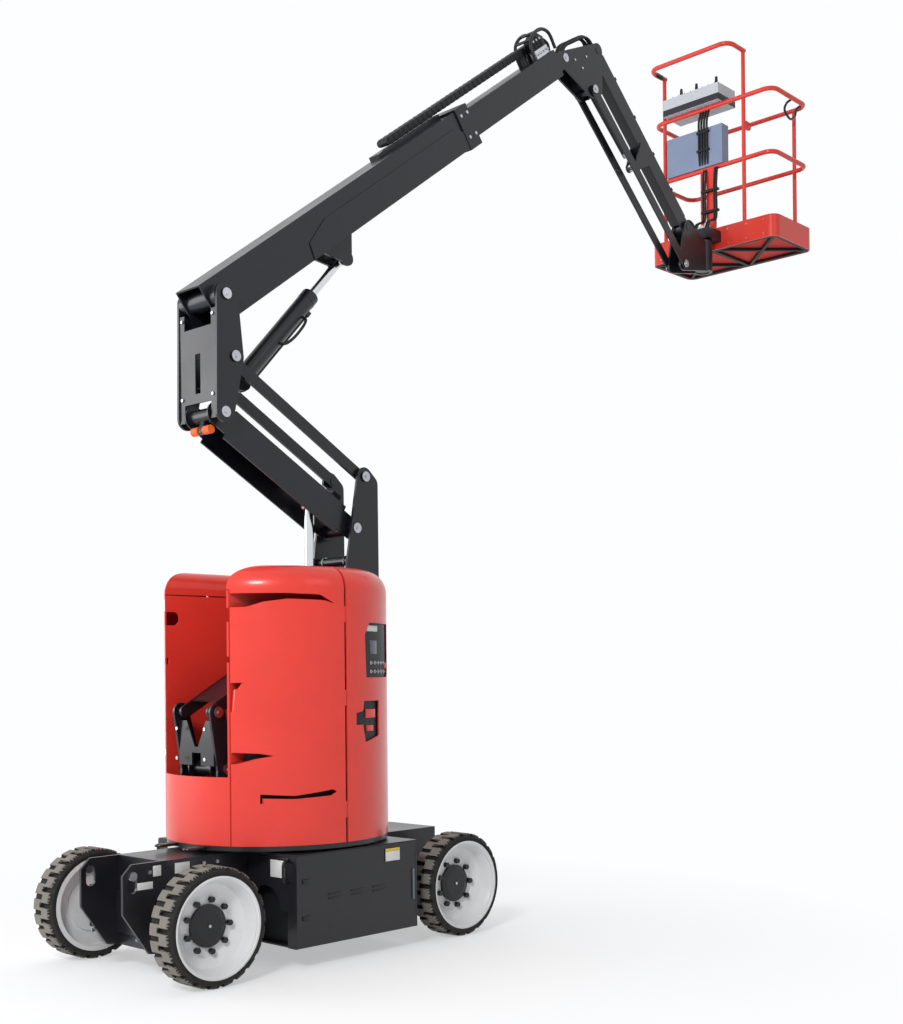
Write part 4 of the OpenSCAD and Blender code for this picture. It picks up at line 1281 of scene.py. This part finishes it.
@dataclass
class BasketDress(Dress):
    """Console, grab loop, floor studs and fittings of the basket.

    Attributes:
        stud_pitch: Distance between the floor's anti-slip studs.
        stud_edge: Distance of the first studs from the floor's edge.
        tube_radius: Radius of the rails' tube.
        lead_radius: Radius of the control box's leads and of the grab loop.
        hose_radius: Radius of the hoses on the mount.
    """

    stud_pitch: float = 0.05
    stud_edge: float = 0.06
    tube_radius: float = 0.017
    lead_radius: float = 0.009
    hose_radius: float = 0.008

    def build(self) -> None:
        """Build the fittings."""
        self._console()
        self._levers()
        self._leads()
        self._stop_button()
        self._loop()
        self._floor()
        self._toe_board()
        self._mount()

    def _console(self) -> None:
        """Give the control box a black deck and a dark skirt."""
        low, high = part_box("control_box")
        middle = (low + high) / 2
        wide, deep = high.x - low.x, high.y - low.y
        deck = Forge("console_deck")
        deck.block((wide - 0.03, deep - 0.04, 0.004), Vector((middle.x, middle.y, high.z + 0.002)), 0.0015)
        self.fit(deck, BLACK_PLASTIC, "platform")
        skirt = Forge("console_skirt")
        skirt.block((wide + 0.004, deep + 0.004, 0.05), Vector((middle.x, middle.y, low.z + 0.026)), 0.004)
        self.fit(skirt, CONSOLE_DARK, "platform")

    def _levers(self) -> None:
        """Set three levers and two rows of switches on the control box."""
        low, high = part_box("control_box")
        middle = (low + high) / 2
        levers = Forge("console_levers")
        for step in (-0.16, 0.02, 0.16):
            foot = Vector((middle.x, middle.y + step, high.z + 0.003))
            levers.rod(foot, foot + UP * 0.014, 0.026, 24, 0.016)
            levers.rod(foot + UP * 0.012, foot + UP * 0.07, 0.006, 12)
            levers.rod(foot + UP * 0.06, foot + UP * 0.1, 0.013, 16, 0.01)
        for index in range(8):
            for x in (low.x + 0.04, high.x - 0.04):
                spot = Vector((x, low.y + 0.06 + index * 0.054, high.z + 0.004))
                levers.rod(spot, spot + UP * 0.01, 0.006, 12)
                levers.rod(spot + UP * 0.008, spot + Vector((0.004, 0.0, 0.024)), 0.0025, 8)
        self.fit(levers, BLACK_PAINT, "platform")

    def _leads(self) -> None:
        """Clip the control box's leads to the face of the tool tray."""
        low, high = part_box("control_box")
        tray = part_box("tool_tray")[0]
        face = tray.x - self.lead_radius
        middle = (low.y + high.y) / 2 - 0.09
        course = (
            (low.x + 0.07, low.z + 0.01),
            (low.x + 0.065, low.z - 0.03),
            (face, low.z - 0.12),
            (face, low.z - 0.22),
            (face, low.z - 0.34),
            (face + 0.012, tray.z + 0.02),
        )
        leads = Forge("console_leads")
        for step in (-0.036, -0.012, 0.012, 0.036):
            leads.hose([Vector((x, middle + step, z)) for x, z in course], self.lead_radius)
        self.fit(leads, HOSE, "platform")
        clips = Forge("console_lead_clips")
        for drop in (0.2, 0.34):
            size = (2 * self.lead_radius + 0.006, 0.11, 0.018)
            clips.block(size, Vector((face, middle, low.z - drop)), 0.003)
        self.fit(clips, BLACK_PLASTIC, "platform")

    def _stop_button(self) -> None:
        """Set the stop button on the control box."""
        low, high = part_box("control_box")
        stop = Forge("console_stop_button")
        spot = Vector(((low.x + high.x) / 2, low.y + 0.06, high.z + 0.003))
        stop.rod(spot, spot + UP * 0.02, 0.011)
        stop.rod(spot + UP * 0.014, spot + UP * 0.03, 0.02, 28, 0.016)
        self.fit(stop, RAIL_RED, "platform")

    def _loop(self) -> None:
        """Bend the black grab loop on the upper rail and sleeve the hoop's end."""
        low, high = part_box("guard_rails")
        start = Vector((high.x - 0.12, low.y + 0.03, high.z - self.tube_radius))
        course = (
            (-0.1, 0.0, 0.0),
            (-0.1, 0.045, -0.02),
            (-0.1, 0.06, -0.07),
            (-0.02, 0.06, -0.11),
            (0.05, 0.06, -0.07),
            (0.05, 0.045, -0.02),
            (0.05, 0.0, 0.0),
        )
        loop = Forge("grab_loop")
        loop.hose([start + Vector(step) for step in course], self.lead_radius)
        self.fit(loop, BLACK_PAINT, "platform")
        low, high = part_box("guard_posts")
        tube = Vector((low.x, high.y - self.tube_radius, high.z - self.tube_radius))
        sleeve = Forge("hoop_sleeves")
        sleeve.rod(tube - BACK * 0.1, tube - BACK * 0.185, self.tube_radius + 0.0025)
        self.fit(sleeve, BLACK_PAINT, "platform")

    def _floor(self) -> None:
        """Give the floor anti-slip studs, a foot switch and a red underside between its ribs, darkened as
        painted shade.
        """
        floor = self.machine.nodes["basket_floor"].data
        low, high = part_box("basket_floor")
        floor.materials.append(self.machine.paint(SHADED_UNDER_RED))
        # Downward faces between the ribs get the darker red, which is painted shade under the floor.
        for face in floor.polygons:
            if face.normal.z < -0.9 and face.center.z > low.z + 0.01:
                face.material_index = 1
        pitch, edge = self.stud_pitch, self.stud_edge
        columns = int((high.x - low.x - 2 * edge) / pitch)
        rows = int((high.y - low.y - 2 * edge) / pitch)
        studs = Forge("floor_studs")
        for column in range(columns + 1):
            for row in range(rows + 1):
                spot = Vector((low.x + edge + column * pitch, low.y + edge + row * pitch, high.z))
                spot.y += 0.5 * pitch * (column % 2)
                studs.rod(spot, spot + UP * 0.003, 0.012, 10, 0.009)
        self.fit(studs, FLOOR_BLACK, "platform")
        pedal = Forge("foot_switch")
        spot = Vector(((low.x + high.x) / 2, 0.2, high.z))
        pedal.block((0.16, 0.12, 0.03), spot + UP * 0.018, 0.006)
        pedal.block((0.15, 0.11, 0.012), turned(spot + UP * 0.06, 0.25), 0.004)
        self.fit(pedal, BLACK_PAINT, "platform")

    def _toe_board(self) -> None:
        """Bolt the toe board and fix the back plate between it and the lower rail."""
        low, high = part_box("toe_board")
        bolts = Forge("toe_board_bolts")
        for y in (-0.46, -0.31, -0.15, 0.15, 0.31, 0.46):
            for z in (low.z + 0.03, high.z - 0.03):
                bolts.bolt(Vector((low.x, y, z)), BACK * 0.005, 0.007)
                bolts.bolt(Vector((high.x, y, z)), BACK * -0.005, 0.007)
        self.fit(bolts, ZINC, "platform")
        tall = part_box("guard_rails")[0].z + self.tube_radius - high.z
        back = Forge("basket_back_plate")
        back.block((0.012, 0.085, tall), Vector((low.x + 0.014, 0.0, high.z + tall / 2)), 0.003)
        self.fit(back, RAIL_RED, "platform")

    def _mount(self) -> None:
        """Cap the rotator and clip its hoses to the back plate."""
        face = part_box("toe_board")[0].x
        spin = self.machine.pivot("platform_rotate")
        top = Vector((spin.x, 0.0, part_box("rotator")[1].z))
        dome = Forge("rotator_cap")
        dome.rod(top, top + UP * 0.02, 0.045, 32, 0.036)
        dome.bolt(top + UP * 0.018, UP * 0.014, 0.02)
        self.fit(dome, ALUMINIUM, "platform")
        course = (
            (spin.x - 0.02, -0.01),
            (spin.x, 0.05),
            (spin.x + 0.05, 0.08),
            (face - 0.012, 0.12),
            (face - 0.012, 0.35),
            (face + 0.004, 0.5),
        )
        hoses = Forge("platform_hoses")
        for side in (-0.06, -0.04, 0.04, 0.06):
            hoses.hose([Vector((x, side, top.z + rise)) for x, rise in course], self.hose_radius)
        self.fit(hoses, HOSE, "platform")
        clips = Forge("platform_hose_clips")
        for rise in (0.17, 0.33):
            clips.block((0.034, 0.15, 0.018), Vector((face - 0.006, 0.0, top.z + rise)), 0.003)
        self.fit(clips, BLACK_PLASTIC, "platform")


@dataclass
class Studio:
    """Camera, light and floor around the machine.

    Attributes:
        eye: Camera position in metres.
        yaw: Heading of the view from +X towards +Y, in degrees.
        pitch: Upward tilt, in degrees.
        roll: Roll about the view direction, in degrees.
        lens_mm: Focal length for a 36 mm long side.
        shift: Lens shift as shares of the long side.
        bright_aim: Direction of the world's bright side.
        dim_side: Strength of the world beside the camera.
        bright_side: Strength of the world behind the machine.
        floor_half: Half of the floor's length.
        fade: Distances at which the floor starts and ends to fade into the backdrop.
        fade_start: Share of the backdrop's white under the machine.
    """

    eye: tuple[float, float, float] = (-4.538, -5.646, 1.442)
    yaw: float = 43.28
    pitch: float = 0.25
    roll: float = -0.54
    lens_mm: float = 47.29
    shift: tuple[float, float] = (-0.01246, 0.1507)
    bright_aim: tuple[float, float, float] = (0.1, 0.97, 0.22)
    dim_side: float = 0.16
    bright_side: float = 1.0
    floor_half: float = 60.0
    fade: tuple[float, float] = (1.2, 3.6)
    fade_start: float = 0.45

    def build(self) -> None:
        """Make the camera, world, lamps and floor."""
        self._camera()
        self._world()
        self._lamps()
        self._floor()
        bpy.context.scene.view_settings.view_transform = "Standard"

    def _camera(self) -> None:
        """Place the camera as it stood for the photo."""
        yaw, pitch, roll = (math.radians(angle) for angle in (self.yaw, self.pitch, self.roll))
        level = math.cos(pitch)
        ahead = Vector((math.cos(yaw) * level, math.sin(yaw) * level, math.sin(pitch)))
        right = Vector((math.sin(yaw), -math.cos(yaw), 0.0))
        up = right.cross(ahead)
        turned_right = math.cos(roll) * right + math.sin(roll) * up
        turned_up = math.cos(roll) * up - math.sin(roll) * right
        data = bpy.data.cameras.new("photo camera")
        data.sensor_fit = "AUTO"
        data.sensor_width = 36.0
        data.lens = self.lens_mm
        data.shift_x, data.shift_y = self.shift
        data.clip_end = 200.0
        camera = bpy.data.objects.new("photo camera", data)
        frame = Matrix((turned_right, turned_up, -ahead)).transposed().to_4x4()
        camera.matrix_world = Matrix.Translation(Vector(self.eye)) @ frame
        bpy.context.scene.collection.objects.link(camera)
        bpy.context.scene.camera = camera

    @staticmethod
    def _seen(tree: bpy.types.NodeTree) -> bpy.types.NodeSocket:
        """Make a value that is one for rays which show the background, straight or mirrored."""
        rays = add_node(tree, "ShaderNodeLightPath")
        value = rays.outputs["Is Camera Ray"]
        for kind in ("Is Glossy Ray", "Is Transmission Ray"):
            either = add_node(tree, "ShaderNodeMath", value, rays.outputs[kind], operation="MAXIMUM")
            value = either.outputs["Value"]
        return value

    def _world(self) -> None:
        """Set a world that is white behind the machine and dim beside the camera."""
        world = bpy.data.worlds.new("studio")
        bpy.context.scene.world = world
        world.use_nodes = True
        tree = world.node_tree
        place = add_node(tree, "ShaderNodeTexCoord").outputs["Generated"]
        aim = add_node(tree, "ShaderNodeVectorMath", place, self.bright_aim, operation="DOT_PRODUCT")
        level = ramp(tree, aim.outputs["Value"], (-0.25, 0.25), (self.dim_side, self.bright_side))
        strength = add_node(tree, "ShaderNodeMath", level, self._seen(tree), operation="MAXIMUM")
        background = tree.nodes["Background"]
        tree.links.new(strength.outputs["Value"], background.inputs["Strength"])
        background.inputs["Color"].default_value = srgb(BACKDROP)

    @staticmethod
    def _lamps() -> None:
        """Hang the three studio lamps."""
        for name, where, aim, size, watts in (
            ("key", (-7.5, -4.5, 6.5), (0.3, 0.0, 2.2), 2.0, 560.0),
            ("fill", (1.0, -8.5, 7.0), (1.0, 0.0, 2.5), 4.0, 60.0),
            ("panel", (-6.2, 6.6, 3.3), (-0.4, 0.0, 2.4), 5.0, 330.0),
        ):
            data = bpy.data.lights.new(name, "AREA")
            data.size = size
            data.energy = watts
            lamp = bpy.data.objects.new(name, data)
            lamp.location = where
            lamp.rotation_mode = "QUATERNION"
            lamp.rotation_quaternion = (Vector(aim) - Vector(where)).to_track_quat("-Z", "Y")
            bpy.context.scene.collection.objects.link(lamp)

    def _floor(self) -> None:
        """Lay a wide floor that fades to the white of the backdrop."""
        mesh = bpy.data.meshes.new("floor")
        half = self.floor_half
        corners = [(-half, -half, 0), (half, -half, 0), (half, half, 0), (-half, half, 0)]
        mesh.from_pydata(corners, [], [(0, 1, 2, 3)])
        floor = bpy.data.objects.new("floor", mesh)
        bpy.context.scene.collection.objects.link(floor)
        paint = bpy.data.materials.new("pale floor")
        paint.use_nodes = True
        tree = paint.node_tree
        surface = tree.nodes["Principled BSDF"]
        surface.inputs["Base Color"].default_value = srgb("F2F3F4")
        surface.inputs["Roughness"].default_value = 0.8
        surface.inputs["Specular IOR Level"].default_value = 0.1
        glow = add_node(tree, "ShaderNodeEmission", Color=srgb(BACKDROP))
        place = add_node(tree, "ShaderNodeTexCoord").outputs["Object"]
        reach = add_node(tree, "ShaderNodeVectorMath", place, operation="LENGTH").outputs["Value"]
        white = ramp(tree, reach, self.fade, (self.fade_start, 1.0))
        share = add_node(tree, "ShaderNodeMath", white, self._seen(tree), operation="MULTIPLY")
        mix = add_node(
            tree,
            "ShaderNodeMixShader",
            share.outputs["Value"],
            surface.outputs["BSDF"],
            glow.outputs["Emission"],
        )
        tree.links.new(mix.outputs["Shader"], tree.nodes["Material Output"].inputs["Surface"])
        mesh.materials.append(paint)


def main() -> None:
    """Build the machine's looks and the studio."""
    logging.basicConfig(level=logging.INFO, format="%(name)s: %(message)s")
    bpy.ops.wm.read_factory_settings(use_empty=True)
    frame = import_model()
    machine = Machine(frame)
    machine.paint_frame()
    for tag in ("fr", "fl", "rr", "rl"):
        WheelDress(machine, tag).build()
    for dress in (PivotCaps, ChassisDress, TurntableDress, RiserDress, BoomDress, JibDress, BasketDress):
        dress(machine).build()
    Studio().build()


if __name__ == "__main__":
    main()
